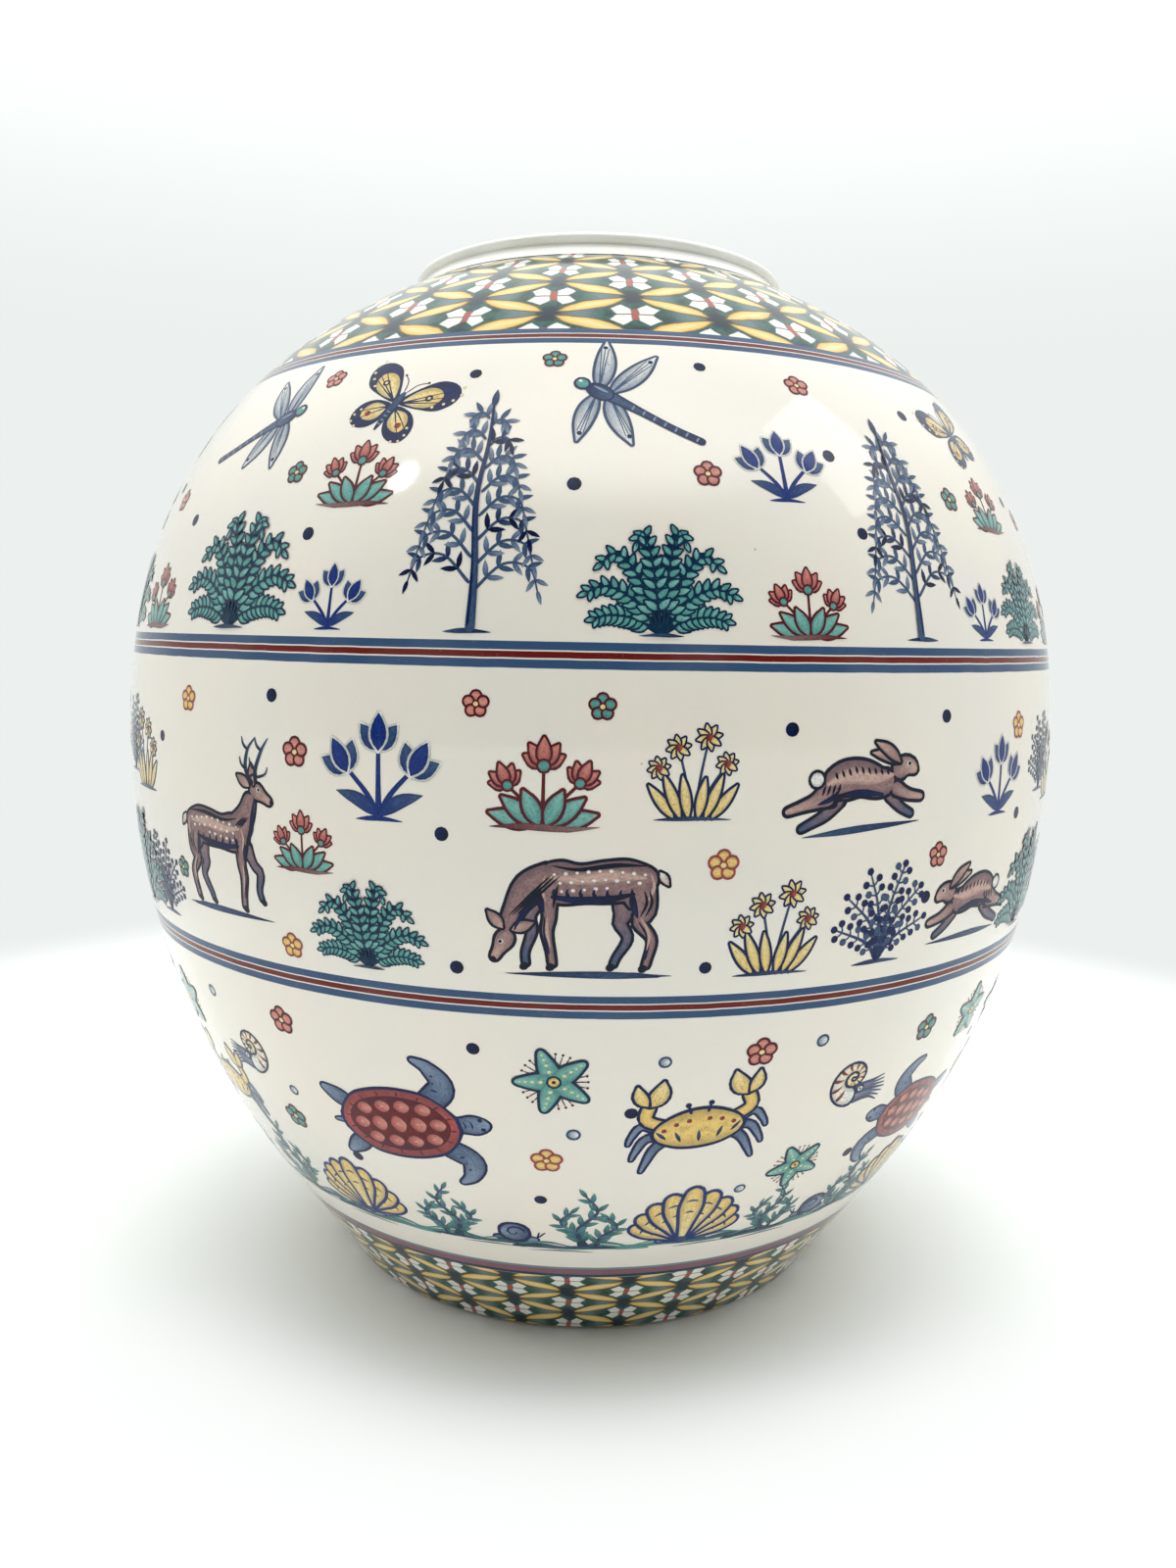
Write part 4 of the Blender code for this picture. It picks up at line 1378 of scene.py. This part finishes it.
def crab():
    """A crab with raised claws."""
    motif = Motif()
    for side in (1, -1):
        for reach, drop in ((11.0, 3.4), (10.4, -0.6), (8.8, -4.0)):
            motif.stroke([(side * 4.4, 4.4), (side * reach * 0.82, 5.0 + drop * 0.7),
                          (side * reach, 2.2 + drop * 0.9), (side * (reach + 0.6), 0.4 + drop * 0.9)],
                         (0.85, 0.70, 0.5, 0.2), "slate", "mist", "navy", 0.28)
        motif.stroke([(side * 4.6, 6.4), (side * 8.6, 8.6), (side * 8.0, 12.0)], (0.9, 0.95, 1.0), "sun", "sun",
                     "navy", 0.32)
        motif.leaf(side * 8.2, 11.4, 90 + side * 26, 5.4, 1.45, "sun", "cream", "navy", 0.32, bend=side * 0.10)
        motif.leaf(side * 8.4, 11.6, 90 - side * 22, 4.4, 1.0, "sun", "cream", "navy", 0.32, bend=-side * 0.10)
    motif.stroke([(-7.4, 5.2), (-3.6, 5.4), (0, 5.6), (3.6, 5.4), (7.4, 5.2)], (1.4, 3.3, 3.9, 3.3, 1.4),
                 "sun", "sun", "navy", 0.42)
    for x, y, turn in ((0, 2.6, 90), (-3.0, 3.0, 112), (3.0, 3.0, 68), (-5.4, 3.9, 132), (5.4, 3.9, 48)):
        motif.leaf(x, y, turn, 2.6, 0.34, "navy", "slate")
    for side in (1, -1):
        motif.stroke([(side * 1.4, 8.8), (side * 1.8, 10.4)], (0.3, 0.26), "navy")
        motif.dot(side * 1.9, 10.7, 0.50, "navy")
        for x, y in ((1.7, 7.4), (3.8, 6.9), (5.8, 5.9)):
            motif.dot(side * x, y, 0.44, "brick", tip="maroon")
    return motif


def nautilus():
    """A coiled sea shell with red bands. Its short arms trail to the right."""
    motif = Motif()
    for index in range(7):
        rise = -2.4 - 0.75 * index
        tip = (10.8 - 0.4 * abs(index - 3), rise + 0.2 - 0.4 * (index - 3))
        motif.stroke([(1.4, rise), (6.2, rise + 0.5), tip], (0.55, 0.42, 0.14),
                     ("slate", "mist", "plum")[index % 3], "slate")
    turns = np.linspace(-10.6, 0, 40)
    reach = 5.2 * np.exp(0.18 * turns)
    angle = turns - 1.25
    coil = np.column_stack([reach * np.cos(angle), reach * np.sin(angle)])
    motif.stroke(coil, 0.50 * reach, "cream", "white", "navy", 0.36)
    for index in range(14, 38, 2):
        out = np.array([math.cos(angle[index]), math.sin(angle[index])])
        side = np.array([-out[1], out[0]])
        foot, top = out * reach[index] * 0.72, out * reach[index] * 1.42
        motif.stroke([foot, (foot + top) / 2 + side * reach[index] * 0.07, top],
                     (0.10, 0.11 * reach[index], 0.13 * reach[index]), "brick", "maroon")
    motif.dot(3.0, -3.4, 0.70, "white", "navy", 0.25)
    motif.dot(3.0, -3.4, 0.32, "navy")
    return motif


def scallop():
    """A fan shell that stands on its hinge."""
    motif = Motif()
    for side in (1, -1):
        motif.stroke([(0, 0.8), (side * 2.2, 0.9), (side * 3.6, 0.4)], (0.8, 0.65, 0.3), "slate", "mist",
                     "cobalt", 0.25)
    for turn in (64, -64, 48, -48, 32, -32, 16, -16, 0):
        size = 12.4 - 0.055 * abs(turn)
        away = math.radians(90 - turn)
        right, up = polar(away, size)
        tip = (right, 0.6 + up)
        motif.stroke([(0, 0.6), (tip[0] * 0.5, 0.6 + (tip[1] - 0.6) * 0.5), tip], (0.35, 0.95, 1.55, 1.0),
                     "cream", "sun", "cobalt", 0.34)
        for reach in (0.55, 0.76):
            x, y = tip[0] * reach, 0.6 + (tip[1] - 0.6) * reach
            across = (math.sin(away) * 1.3 * reach, -math.cos(away) * 1.3 * reach)
            motif.stroke([(x - across[0], y - across[1]), (x * 1.03, y * 1.03), (x + across[0], y + across[1])],
                         (0.08, 0.24, 0.08), "slate")
    motif.dot(0, 0.5, 0.9, "cobalt", tip="slate")
    return motif


def sea_star():
    """A star with five dotted arms, and fine red hairs between them."""
    motif = Motif()
    for index in range(5):
        turn = math.radians(54 + 72 * index)
        for lean in (-0.22, 0, 0.22):
            tip = polar(turn + lean, 6.2)
            motif.stroke([(0, 0), (tip[0] * 0.6, tip[1] * 0.6), tip], (0.12, 0.12, 0.10), "maroon")
            motif.dot(*tip, 0.26, "maroon")
    arms = [math.radians(90 + 72 * index) for index in range(5)]
    motif.figure([([(0, 0), polar(arm, 3.6), polar(arm, 7.2)], (1.9, 1.6, 0.5), "teal", "sea") for arm in arms],
                 "pine", 0.36)
    for arm in arms:
        for reach, size in ((2.4, 0.40), (3.9, 0.34), (5.2, 0.28), (6.3, 0.22)):
            motif.dot(*polar(arm, reach), size, "cream")
    motif.dot(0, 0, 1.0, "sun", "pine", 0.28)
    motif.dot(0, 0, 0.4, "maroon")
    return motif


def weed():
    """Waving sea grass with paired blades."""
    motif = Motif()
    for x, tall, sway in ((-3.4, 9.0, 1.3), (3.2, 10.5, -1.4), (0.2, 15.0, 1.6)):
        line = [(x * 0.4, 0), (x + sway, tall * 0.35), (x - sway, tall * 0.7), (x + sway * 0.4, tall)]
        motif.stroke(line, (0.5, 0.4, 0.3, 0.15), "pine", "slate")
        spray(motif, line, 6, 3.4, 0.62, 38, (("pine", "teal"), ("slate", "teal")), start=0.12, shrink=0.3)
    ground_stroke(motif, -5, 5, "pine", "slate", 0.4)
    return motif


def snail():
    """A small spiral shell on the sand."""
    motif = Motif()
    motif.stroke([(-3.2, 1.0), (0, 1.1), (3.4, 0.9)], (0.3, 0.8, 0.4), "slate", "mist", "navy", 0.22)
    motif.dot(0, 2.6, 2.1, "mist", "navy", 0.3, tip="slate")
    spiral = [(math.cos(0.75 * step) * (1.7 - 0.16 * step), 2.6 + math.sin(0.75 * step) * (1.7 - 0.16 * step))
              for step in range(10)]
    motif.stroke(spiral, (0.24, 0.2, 0.12), "navy")
    for x in (3.4, 4.3):
        motif.stroke([(3.3, 1.3), (x + 0.4, 3.0)], (0.16, 0.12), "navy")
    return motif


def shore():
    """A stretch of low sand hills with a darker line under them."""
    motif = Motif()
    motif.stroke([(-15.5, 0.0), (-9, 0.7), (-3, 0.1), (4, 0.9), (10, 0.2), (15.5, 0.1)],
                 (0.40, 1.00, 0.60, 1.10, 0.65, 0.40), "pine", "teal")
    motif.stroke([(-14, 0.9), (-8, 2.3), (-2, 0.8)], (0.08, 0.42, 0.08), "teal", "slate")
    motif.stroke([(0, 0.9), (5, 2.7), (12, 0.7)], (0.08, 0.5, 0.08), "pine", "teal")
    motif.stroke([(-12, -1.4), (-4, -1.1), (3, -1.5)], (0.06, 0.28, 0.06), "mist", "slate")
    return motif


def bubble():
    motif = Motif()
    motif.dot(0, 0, 0.95, "mist", "slate", 0.30, tip="white")
    return motif


def spot():
    motif = Motif()
    motif.dot(0, 0, 1.42, "navy", tip="pitch")
    return motif


def rosette(petal, rim):
    """Five round petals about an eye."""
    motif = Motif()
    for index in range(5):
        motif.dot(*polar(math.radians(90 + 72 * index), 1.75), 1.02, petal, rim, 0.32)
    motif.dot(0, 0, 0.55, "cream", rim, 0.22)
    return motif


# Layouts: for each piece, its motifs and where each stands as (angle, height, scale, tilt).

UPPER_FRIEZE = {
    "trees": {"willow": ((-11, 1.6, 1.0, 0), (33, 1.6, -0.96, 0))},
    "ferns": {"fern": ((-38, 1.6, 1.0, 0), (6, 1.4, -0.86, 0), (54, 1.4, 0.76, 0))},
    "tulips": {"tulips": ((-25, 1.6, 0.95, 0), (43.5, 1.8, 0.9, 0), (19, 29, 1.15, 0))},
    "pinks": {"pinks": ((-54.5, 1.6, 1.0, 0), (20, 1.6, -0.95, 0), (-24.5, 27, -1.0, 0), (50, 27, 0.9, 0))},
    "dragonflies": {"dragonfly": ((-43, 47, 1.0, 6), (4, 49, -1.0, -14))},
    "butterflies": {"butterfly": ((-23, 50, 0.92, -24), (51, 51, 0.88, 20))},
    "scatter": {
        "red_rosette": ((-57, 32, 0.9, 0), (11, 34, 0.9, 0), (24, 58, 0.9, 0), (-34, 60, 0.85, 10)),
        "green_rosette": ((-33, 35, 0.85, 0), (42, 33, 0.9, 0), (-5, 62, 0.8, 0)),
        "spot": ((-50, 26, 1, 0), (-29, 21, 1, 0), (-2, 31, 1, 0), (12, 61, 0.9, 0), (25, 40, 1, 0),
                 (40, 54, 1, 0), (59, 36, 1, 0), (-14, 58, 0.9, 0), (27, 23, 0.9, 0)),
    },
}
MIDDLE_FRIEZE = {
    "deer": {"stag": ((-39, 10, 0.84, 0),), "doe": ((0, 5, -0.88, 0),)},
    "hares": {"hare": ((26, 33, 1.04, 4), (43, 6, -1.02, 0))},
    "ferns": {"fern": ((58, 3, 0.96, 0), (-21, 3, -0.74, 0))},
    "flowers": {"tulips": ((-19, 34, 1.50, 0), (46, 33, 1.25, 0)),
                "daisies": ((17.5, 4, 1.16, 0), (-56, 33, -1.10, 0), (9, 36, 1.08, 0))},
    "shrubs": {"berries": ((29.5, 4, 1.30, 0), (-53, 4, -1.15, 0), (58.5, 36, 1.10, 0)),
               "pinks": ((-4, 34, 1.2, 0), (-27.5, 22, 0.85, 0))},
    "scatter": {
        "red_rosette": ((-28, 46, 1.0, 0), (36, 26, 0.9, 0), (-10, 57, 0.85, 0)),
        "yellow_rosette": ((12, 27, 1.0, 0), (50, 52, 1.0, 0), (-44, 55, 0.9, 0), (-30, 5, 0.9, 0)),
        "green_rosette": ((1, 57, 0.85, 0), (-47, 17, 0.8, 0)),
        "spot": ((-13, 32, 1, 0), (-31, 57, 1, 0), (18, 53, 1, 0), (36, 55, 1, 0), (35, 17, 1, 0), (-12, 5, 1, 0),
                 (51, 32, 1, 0), (-59, 26, 1, 0), (-50, 46, 0.9, 0), (11, 6, 0.9, 0)),
    },
}
LOWER_FRIEZE = {
    "turtles": {"turtle": ((-21, 46, 1.12, 9), (46, 40, -0.98, -12))},
    "crabs": {"crab": ((13, 42, 1.30, 6), (-53, 34, -1.15, 0)),
              "nautilus": ((31, 57, 1.05, 0), (-42, 57, -1.0, 0))},
    "shells": {"scallop": ((-32, 10, 1.45, 0), (14, 10, 1.55, 0), (50, 10, 1.30, 0)),
               "snail": ((-9, 10, 1.5, 0), (35, 10, -1.5, 0))},
    "stars": {"sea_star": ((-57, 62, 1.05, 8), (-3, 62, 1.12, 20), (52, 65, 1.0, 0), (27, 33, 0.95, 30))},
    "weed": {"weed": ((-46, 9, 1.45, 0), (-18, 9, 1.25, 0), (1, 9, -1.35, 0), (27, 9, -1.15, 0), (41, 9, 1.3, 0),
                      (60, 9, 1.2, 0))},
    "scatter": {
        "red_rosette": ((-34, 68, 1.1, 0), (18, 68, 1.1, 0)),
        "yellow_rosette": ((60, 45, 1.1, 0), (-4, 40, 1.1, 0)),
        "green_rosette": ((-38, 39, 1.1, 0), (41, 66, 1.1, 0)),
        "spot": ((-11, 69, 1, 0), (5, 54, 1, 0), (-29, 32, 1, 0), (36, 32, 1, 0), (-5, 27, 1, 0), (57, 29, 1, 0)),
        "bubble": ((-47, 69, 1.1, 0), (8, 67, 1.0, 0), (25, 69, 1.1, 0), (-1, 48, 1.1, 0), (57, 56, 1.0, 0),
                   (-36, 48, 1.0, 0), (20, 28, 1.0, 0)),
    },
    "shore": {"shore": tuple((angle, 8.4 + 0.9 * (index % 2), (1, -1)[index % 2], 0)
                             for index, angle in enumerate(range(-60, 60, 15)))},
}
LAYOUTS = {"upper": UPPER_FRIEZE, "middle": MIDDLE_FRIEZE, "lower": LOWER_FRIEZE}


# Operators.


class VasePiece:
    """What the vase's operators share."""

    bl_options = {"REGISTER"}

    def execute(self, context):
        self.build(sizes(), Outline(sizes()))
        return {"FINISHED"}


class VASE_OT_clay(VasePiece, bpy.types.Operator):
    """Turn the clay wall and its bare foot ring"""

    bl_idname = "vase.clay"
    bl_label = "Clay body"

    def build(self, size, outline):
        face = size.coat_thickness + size.coat_gap
        back = face + size.clay_wall
        clay = clay_finish("bare_clay", tuple(paints().clay))
        bore = foot_bore(size, outline)
        top = outline.distance_at_radius(hole_radius(size), face)
        heel = outline.distance_at(size.foot_ring_height, face)
        floor_top = size.floor_recess + size.floor_thickness
        inner_low = outline.distance_at(floor_top, back)
        inner_top = outline.distance_at_radius(hole_radius(size), back)
        profile = stretch(outline, top, heel, face, HIDDEN_ROW_LENGTH / 2, True)
        profile += plain([(bore, profile[-1][0][1]), (bore, floor_top)])
        profile += stretch(outline, inner_low, inner_top, back, HIDDEN_ROW_LENGTH / 2, False)
        turned("clay_wall", profile, True, clay, ("body_shell",))
        ring_top = size.foot_ring_height - size.coat_gap
        rounding = size.foot_ring_rounding
        outer = float(outline.at(0.0, face)[0])
        upper = outline.at(outline.distance_at(ring_top, face), face)
        edge = arc((outer - rounding, rounding), rounding, 0, -90)
        inner = arc((bore + rounding, rounding), rounding, -90, -180)
        turned("clay_foot", plain([upper] + edge + inner + [(bore, ring_top)]), True, clay,
               ("foot_ring",))


class VASE_OT_lining(VasePiece, bpy.types.Operator):
    """Glaze the inside and the floor under the foot"""

    bl_idname = "vase.lining"
    bl_label = "Lining and floor"

    def build(self, size, outline):
        glaze = glaze_finish("lining_glaze", scaled(paints().ivory, 0.97))
        back = size.coat_thickness + size.clay_wall + 2 * size.coat_gap
        face = back + size.coat_thickness
        floor_top = size.floor_recess + size.floor_thickness + size.coat_gap
        outer_low = outline.distance_at(floor_top, back)
        inner_low = outline.distance_at(floor_top + size.coat_thickness, face)
        top = outline.distance_at_radius(hole_radius(size), face)
        low_radius = float(outline.at(inner_low, face)[0])
        level = floor_top + size.coat_thickness
        floor = [(radius, level) for radius in rows(0, low_radius - FLOOR_ROOM, FLOOR_ROW)]
        profile = plain(floor) + stretch(outline, inner_low, top, face, ROW_LENGTH * 2, False)
        profile += stretch(outline, top, outer_low, back, HIDDEN_ROW_LENGTH, True) + plain([(0, floor_top)])
        turned("lining", profile, False, glaze, ("inner_glaze",))
        edge = foot_bore(size, outline) - size.coat_gap
        low = size.floor_recess
        high = low + size.floor_thickness
        fillet = arc((edge - FLOOR_FILLET, low + FLOOR_FILLET), FLOOR_FILLET, 0, -90, FILLET_POINTS)
        under = [(radius, low) for radius in rows(edge - UNDERSIDE_ROOM, 0, FLOOR_ROW)]
        turned("underside", plain([(0, high), (edge, high)] + fillet + under), False, glaze,
               ("base_floor",))


class VASE_OT_collar(VasePiece, bpy.types.Operator):
    """Turn the glazed collar with its rolled lip"""

    bl_idname = "vase.collar"
    bl_label = "Collar"

    def build(self, size, outline):
        # The collar's whiter glaze is partly painted light from overhead.
        glaze = glaze_finish("collar_glaze", tuple(paints().collar_white_and_painted_light))
        bore = size.neck_radius - size.collar_wall
        lip = size.neck_radius + size.lip_overhang
        top = size.neck_height + size.collar_rise
        rounding = size.lip_rounding
        roll = arc((lip - rounding, top - rounding), rounding, 90, -60, LIP_POINTS)
        waist = (size.neck_radius + WAIST_OUT, roll[-1][1] - WAIST_DROP)
        reach = outline.distance_at_radius(size.neck_radius + size.collar_flare, 0.0)
        back = [outline.at(distance, -size.coat_gap / 3)
                for distance in rows(reach, outline.lengths[-1], ROW_LENGTH)]
        edge_radius, edge_height = back[0]
        flare, drop = size.collar_flare, waist[1] - edge_height
        (top_out, top_down), (low_in, low_up) = COVE_HANDLES
        cove = cubic((waist, (waist[0] + flare * top_out, waist[1] - drop * top_down),
                      (edge_radius - flare * low_in, edge_height + drop * low_up), back[0]),
                     np.linspace(0, 1, COVE_POINTS))
        low = size.neck_height - size.collar_spigot
        edge = arc((bore + rounding, top - rounding), rounding, 180, 90)
        profile = roll + cove.tolist() + back[1:] + [(size.neck_radius, low), (bore, low)] + edge[:-1]
        turned("collar", plain(profile), True, glaze, ("mouth_collar",))


def coat(name, size, outline, limits, finish, slot):
    """One printed coat round the vase, closed behind."""
    low, high = limits[name]
    outer = stretch(outline, high, low, 0.0, ROW_LENGTH, True)
    inner = [(point, None, distance) for point, _, distance in
             stretch(outline, low, high, size.coat_thickness, HIDDEN_ROW_LENGTH, False)]
    turned(name + "_coat", outer + inner, True, finish, (name,))


class VASE_OT_borders(VasePiece, bpy.types.Operator):
    """Print the two lattice borders"""

    bl_idname = "vase.borders"
    bl_label = "Lattice borders"

    def build(self, size, outline):
        limits = band_limits(size, outline)
        color = paints()
        colors = {
            "green": tuple(color.border_green), "slate": tuple(color.border_slate),
            "olive": tuple(color.border_olive), "sun": tuple(color.sun), "cream": tuple(color.cream),
            "white": tuple(color.white), "red": tuple(color.brick),
            "deep": scaled(color.border_green, 0.38), "pale": scaled(color.border_green, 0.5, 0.18),
            "knot": scaled(color.pine, 0.45), "amber": scaled(color.sun, (0.84, 0.70, 0.52)),
        }
        for name, (circles, angle, first_row, rise) in LATTICES.items():
            finish = lattice_finish(name + "_lattice", circles, circles * angle / TURN, first_row, rise, colors)
            coat(name + "_border", size, outline, limits, finish, "border_print")


class VASE_OT_stripes(VasePiece, bpy.types.Operator):
    """Print the stripes between the bands"""

    bl_idname = "vase.stripes"
    bl_label = "Stripes"

    def build(self, size, outline):
        limits = band_limits(size, outline)
        color = paints()
        blue, red, navy = tuple(color.stripe_blue), tuple(color.stripe_red), tuple(color.pine)
        ground = tuple(color.ivory)
        wide = ((0.05, 1.72, blue), (2.00, 3.22, red), (3.48, 5.12, blue))
        foot = ((0.05, 1.40, navy), (1.35, 3.90, tuple(color.stripe_mauve)),
                (3.85, 4.80, tuple(color.border_slate)))
        for name, lines in (("foot_stripe", foot), ("lower_belly_stripe", wide), ("upper_belly_stripe", wide),
                            ("shoulder_stripe", wide)):
            finish = stripe_finish(name + "_ink", limits[name][0], lines, ground)
            coat(name, size, outline, limits, finish, "stripe_print")


class VASE_OT_grounds(VasePiece, bpy.types.Operator):
    """Glaze the grounds of the three friezes"""

    bl_idname = "vase.grounds"
    bl_label = "Frieze grounds"

    def build(self, size, outline):
        limits = band_limits(size, outline)
        glaze = glaze_finish("ivory_ground", tuple(paints().ivory))
        for name in ("lower_frieze", "middle_frieze", "upper_frieze"):
            coat(name, size, outline, limits, glaze, "ivory_glaze")


def drawings():
    """The motifs by name."""
    return {
        "willow": willow(), "fern": fern(), "tulips": tulips(), "pinks": pinks(), "dragonfly": dragonfly(),
        "butterfly": butterfly("sun", "cream", "navy"), "stag": deer(False, True), "doe": deer(True, False),
        "hare": hare(), "daisies": daisies(), "berries": berries(), "turtle": turtle(), "crab": crab(),
        "nautilus": nautilus(), "scallop": scallop(), "snail": snail(), "sea_star": sea_star(), "weed": weed(),
        "shore": shore(), "bubble": bubble(), "spot": spot(), "red_rosette": rosette("blush", "maroon"),
        "green_rosette": rosette("teal", "maroon"), "yellow_rosette": rosette("sun", "brick"),
    }


def paint_frieze(name, layout, size, outline):
    """Paint one frieze: each of its pieces holds its motifs three times round the vase."""
    start = band_limits(size, outline)[name + "_frieze"][0]
    finish = print_finish(name + "_inks")
    known = drawings()
    drawn = {}
    for piece, motifs in layout.items():
        placed = []
        for motif, spots in motifs.items():
            if motif not in drawn:
                drawn[motif] = ribbons(known[motif])
            for angle, height, scale, tilt in spots:
                for turn in range(REPEATS):
                    placed.append((drawn[motif], angle + 360 / REPEATS * turn, height, scale, tilt))
        painted(f"{name}_{piece}", placed, start, outline, finish)


class VaseFrieze(VasePiece):
    """What the operators of the painted friezes share."""

    def build(self, size, outline):
        paint_frieze(self.frieze, LAYOUTS[self.frieze], size, outline)


class VASE_OT_upper_motifs(VaseFrieze, bpy.types.Operator):
    """Paint the upper frieze: trees, ferns and flowers, with winged insects over them"""

    bl_idname = "vase.upper_motifs"
    bl_label = "Upper frieze"
    frieze = "upper"


class VASE_OT_middle_motifs(VaseFrieze, bpy.types.Operator):
    """Paint the middle frieze: deer and hares among shrubs and flowers"""

    bl_idname = "vase.middle_motifs"
    bl_label = "Middle frieze"
    frieze = "middle"


class VASE_OT_lower_motifs(VaseFrieze, bpy.types.Operator):
    """Paint the lower frieze: turtles, crabs, shells and sea grass over the shore"""

    bl_idname = "vase.lower_motifs"
    bl_label = "Lower frieze"
    frieze = "lower"


class VASE_OT_stage(bpy.types.Operator):
    """Set up the camera, the lamps, the floor and the backdrop"""

    bl_idname = "vase.stage"
    bl_label = "Stage"
    bl_options = {"REGISTER"}

    def execute(self, context):
        stage = context.scene.vase_stage
        self.floor(stage)
        self.world(context, stage)
        self.camera(context, stage)
        self.lamps(stage)
        context.scene.view_settings.view_transform = "Standard"
        return {"FINISHED"}

    def floor(self, stage):
        bpy.ops.object.select_all(action="DESELECT")
        bpy.ops.mesh.primitive_circle_add(vertices=FLOOR_SIDES, radius=FLOOR_RADIUS, fill_type="NGON",
                                          location=(0, 0, 0))
        floor = bpy.context.object
        floor.name = "floor"
        bpy.ops.object.mode_set(mode="EDIT")
        bpy.ops.mesh.select_all(action="SELECT")
        bpy.ops.mesh.inset(thickness=FLOOR_RIM)
        bpy.ops.object.mode_set(mode="OBJECT")
        finish = Finish("floor_paper")
        x, y, _ = finish.axes(finish.place())
        away = (x ** 2 + y ** 2) ** 0.5
        camera, glossy, through_glass = finish.rays("Camera", "Glossy", "Transmission")
        ends = tuple(stage.floor_white), tuple(stage.backdrop)
        finish.gloss(finish.mix(away.step(*LIT_FADE), *ends), 0.9, shine=0.1)
        glow_color = finish.mix(away.step(*SEEN_FADE), *ends)
        glow = finish.node("ShaderNodeEmission", {}, {"Color": glow_color, "Strength": 1.0})
        # Painted light: in front of the foot, the camera and reflections see mostly a glow, which thins the vase's
        # shadow there.
        front = away.step(*FRONT_AWAY) * (-y).step(*FRONT_BEFORE) * FRONT_PAINTED_LIGHT
        share = (camera + glossy + through_glass).least(1) * front.most(away.step(*SEEN_FADE))
        blend = finish.node("ShaderNodeMixShader", {}, {0: share, 1: finish.shader.outputs[0], 2: glow.outputs[0]})
        finish.wire(finish.tree.nodes["Material Output"], {"Surface": blend.outputs[0]})
        floor.data.materials.append(finish.material)

    def world(self, context, stage):
        """An even studio: pale behind and at the sides, brighter overhead, and dim on the viewer's side.

        Seen by the camera it is pale all round, and the glaze mirrors it more from overhead in front.
        """
        world = context.scene.world or bpy.data.worlds.new("studio")
        context.scene.world = world
        world.use_nodes = True
        sky = Nodes(world.node_tree)
        _, depth, rise = sky.axes(sky.node("ShaderNodeTexCoord", {}, {}).outputs["Generated"])
        behind, overhead = depth.step(*BEHIND), rise.step(*OVERHEAD)
        camera, glossy = sky.rays("Camera", "Glossy")
        glare = glossy * rise.step(*GLARE_UP) * (1 - depth.step(*GLARE_BACK)) * stage.glare
        plain = behind.most(camera) * (1 - stage.near_light) + stage.near_light
        strength = plain + behind * overhead * stage.top_light + glare
        sky.wire(world.node_tree.nodes["Background"], {"Color": tuple(stage.backdrop), "Strength": strength})

    def camera(self, context, stage):
        bpy.ops.object.camera_add(location=stage.camera_place, rotation=(math.pi / 2 - stage.camera_tilt, 0, 0))
        camera = context.object
        camera.rotation_mode = "QUATERNION"
        turned_view = camera.matrix_world.to_quaternion()
        camera.rotation_quaternion = turned_view @ Quaternion((0, 0, 1), stage.camera_roll)
        camera.data.lens = stage.lens
        camera.data.sensor_width = stage.film
        camera.data.sensor_fit = "AUTO"
        camera.data.clip_start = 0.01
        context.scene.camera = camera

    def lamps(self, stage):
        for name, (place, shape, size, power, mirrored) in LAMPS.items():
            bpy.ops.object.light_add(type="AREA", location=place)
            lamp = bpy.context.object
            lamp.name = name
            lamp.data.shape = shape
            lamp.data.size, lamp.data.size_y = size
            lamp.data.energy = getattr(stage, power)
            lamp.visible_glossy = mirrored
            aim = Vector(LAMP_AIM) - Vector(place)
            lamp.rotation_euler = aim.to_track_quat("-Z", "Y").to_euler()


STEPS = ("clay", "lining", "collar", "borders", "stripes", "grounds", "upper_motifs", "middle_motifs",
         "lower_motifs", "stage")
SETTINGS = {"vase_sizes": VaseSizes, "vase_paints": VasePaints, "vase_stage": VaseStage}


class VASE_PT_panel(bpy.types.Panel):
    """The vase's steps and settings"""

    bl_idname = "VASE_PT_panel"
    bl_label = "Globe vase"
    bl_space_type = "VIEW_3D"
    bl_region_type = "UI"
    bl_category = "Vase"

    def draw(self, context):
        for step in STEPS:
            self.layout.operator("vase." + step)
        for setting in SETTINGS:
            group, box = getattr(context.scene, setting), self.layout.box()
            for name in group.__annotations__:
                box.prop(group, name)


CLASSES = (VASE_OT_clay, VASE_OT_lining, VASE_OT_collar, VASE_OT_borders, VASE_OT_stripes, VASE_OT_grounds,
           VASE_OT_upper_motifs, VASE_OT_middle_motifs, VASE_OT_lower_motifs, VASE_OT_stage, VASE_PT_panel)


def register():
    for item in (*SETTINGS.values(), *CLASSES):
        bpy.utils.register_class(item)
    for name, group in SETTINGS.items():
        setattr(bpy.types.Scene, name, bpy.props.PointerProperty(type=group))


def unregister():
    for name in SETTINGS:
        delattr(bpy.types.Scene, name)
    for item in reversed((*SETTINGS.values(), *CLASSES)):
        bpy.utils.unregister_class(item)


def main():
    register()
    for step in STEPS:
        getattr(bpy.ops.vase, step)()


if __name__ == "__main__":
    main()
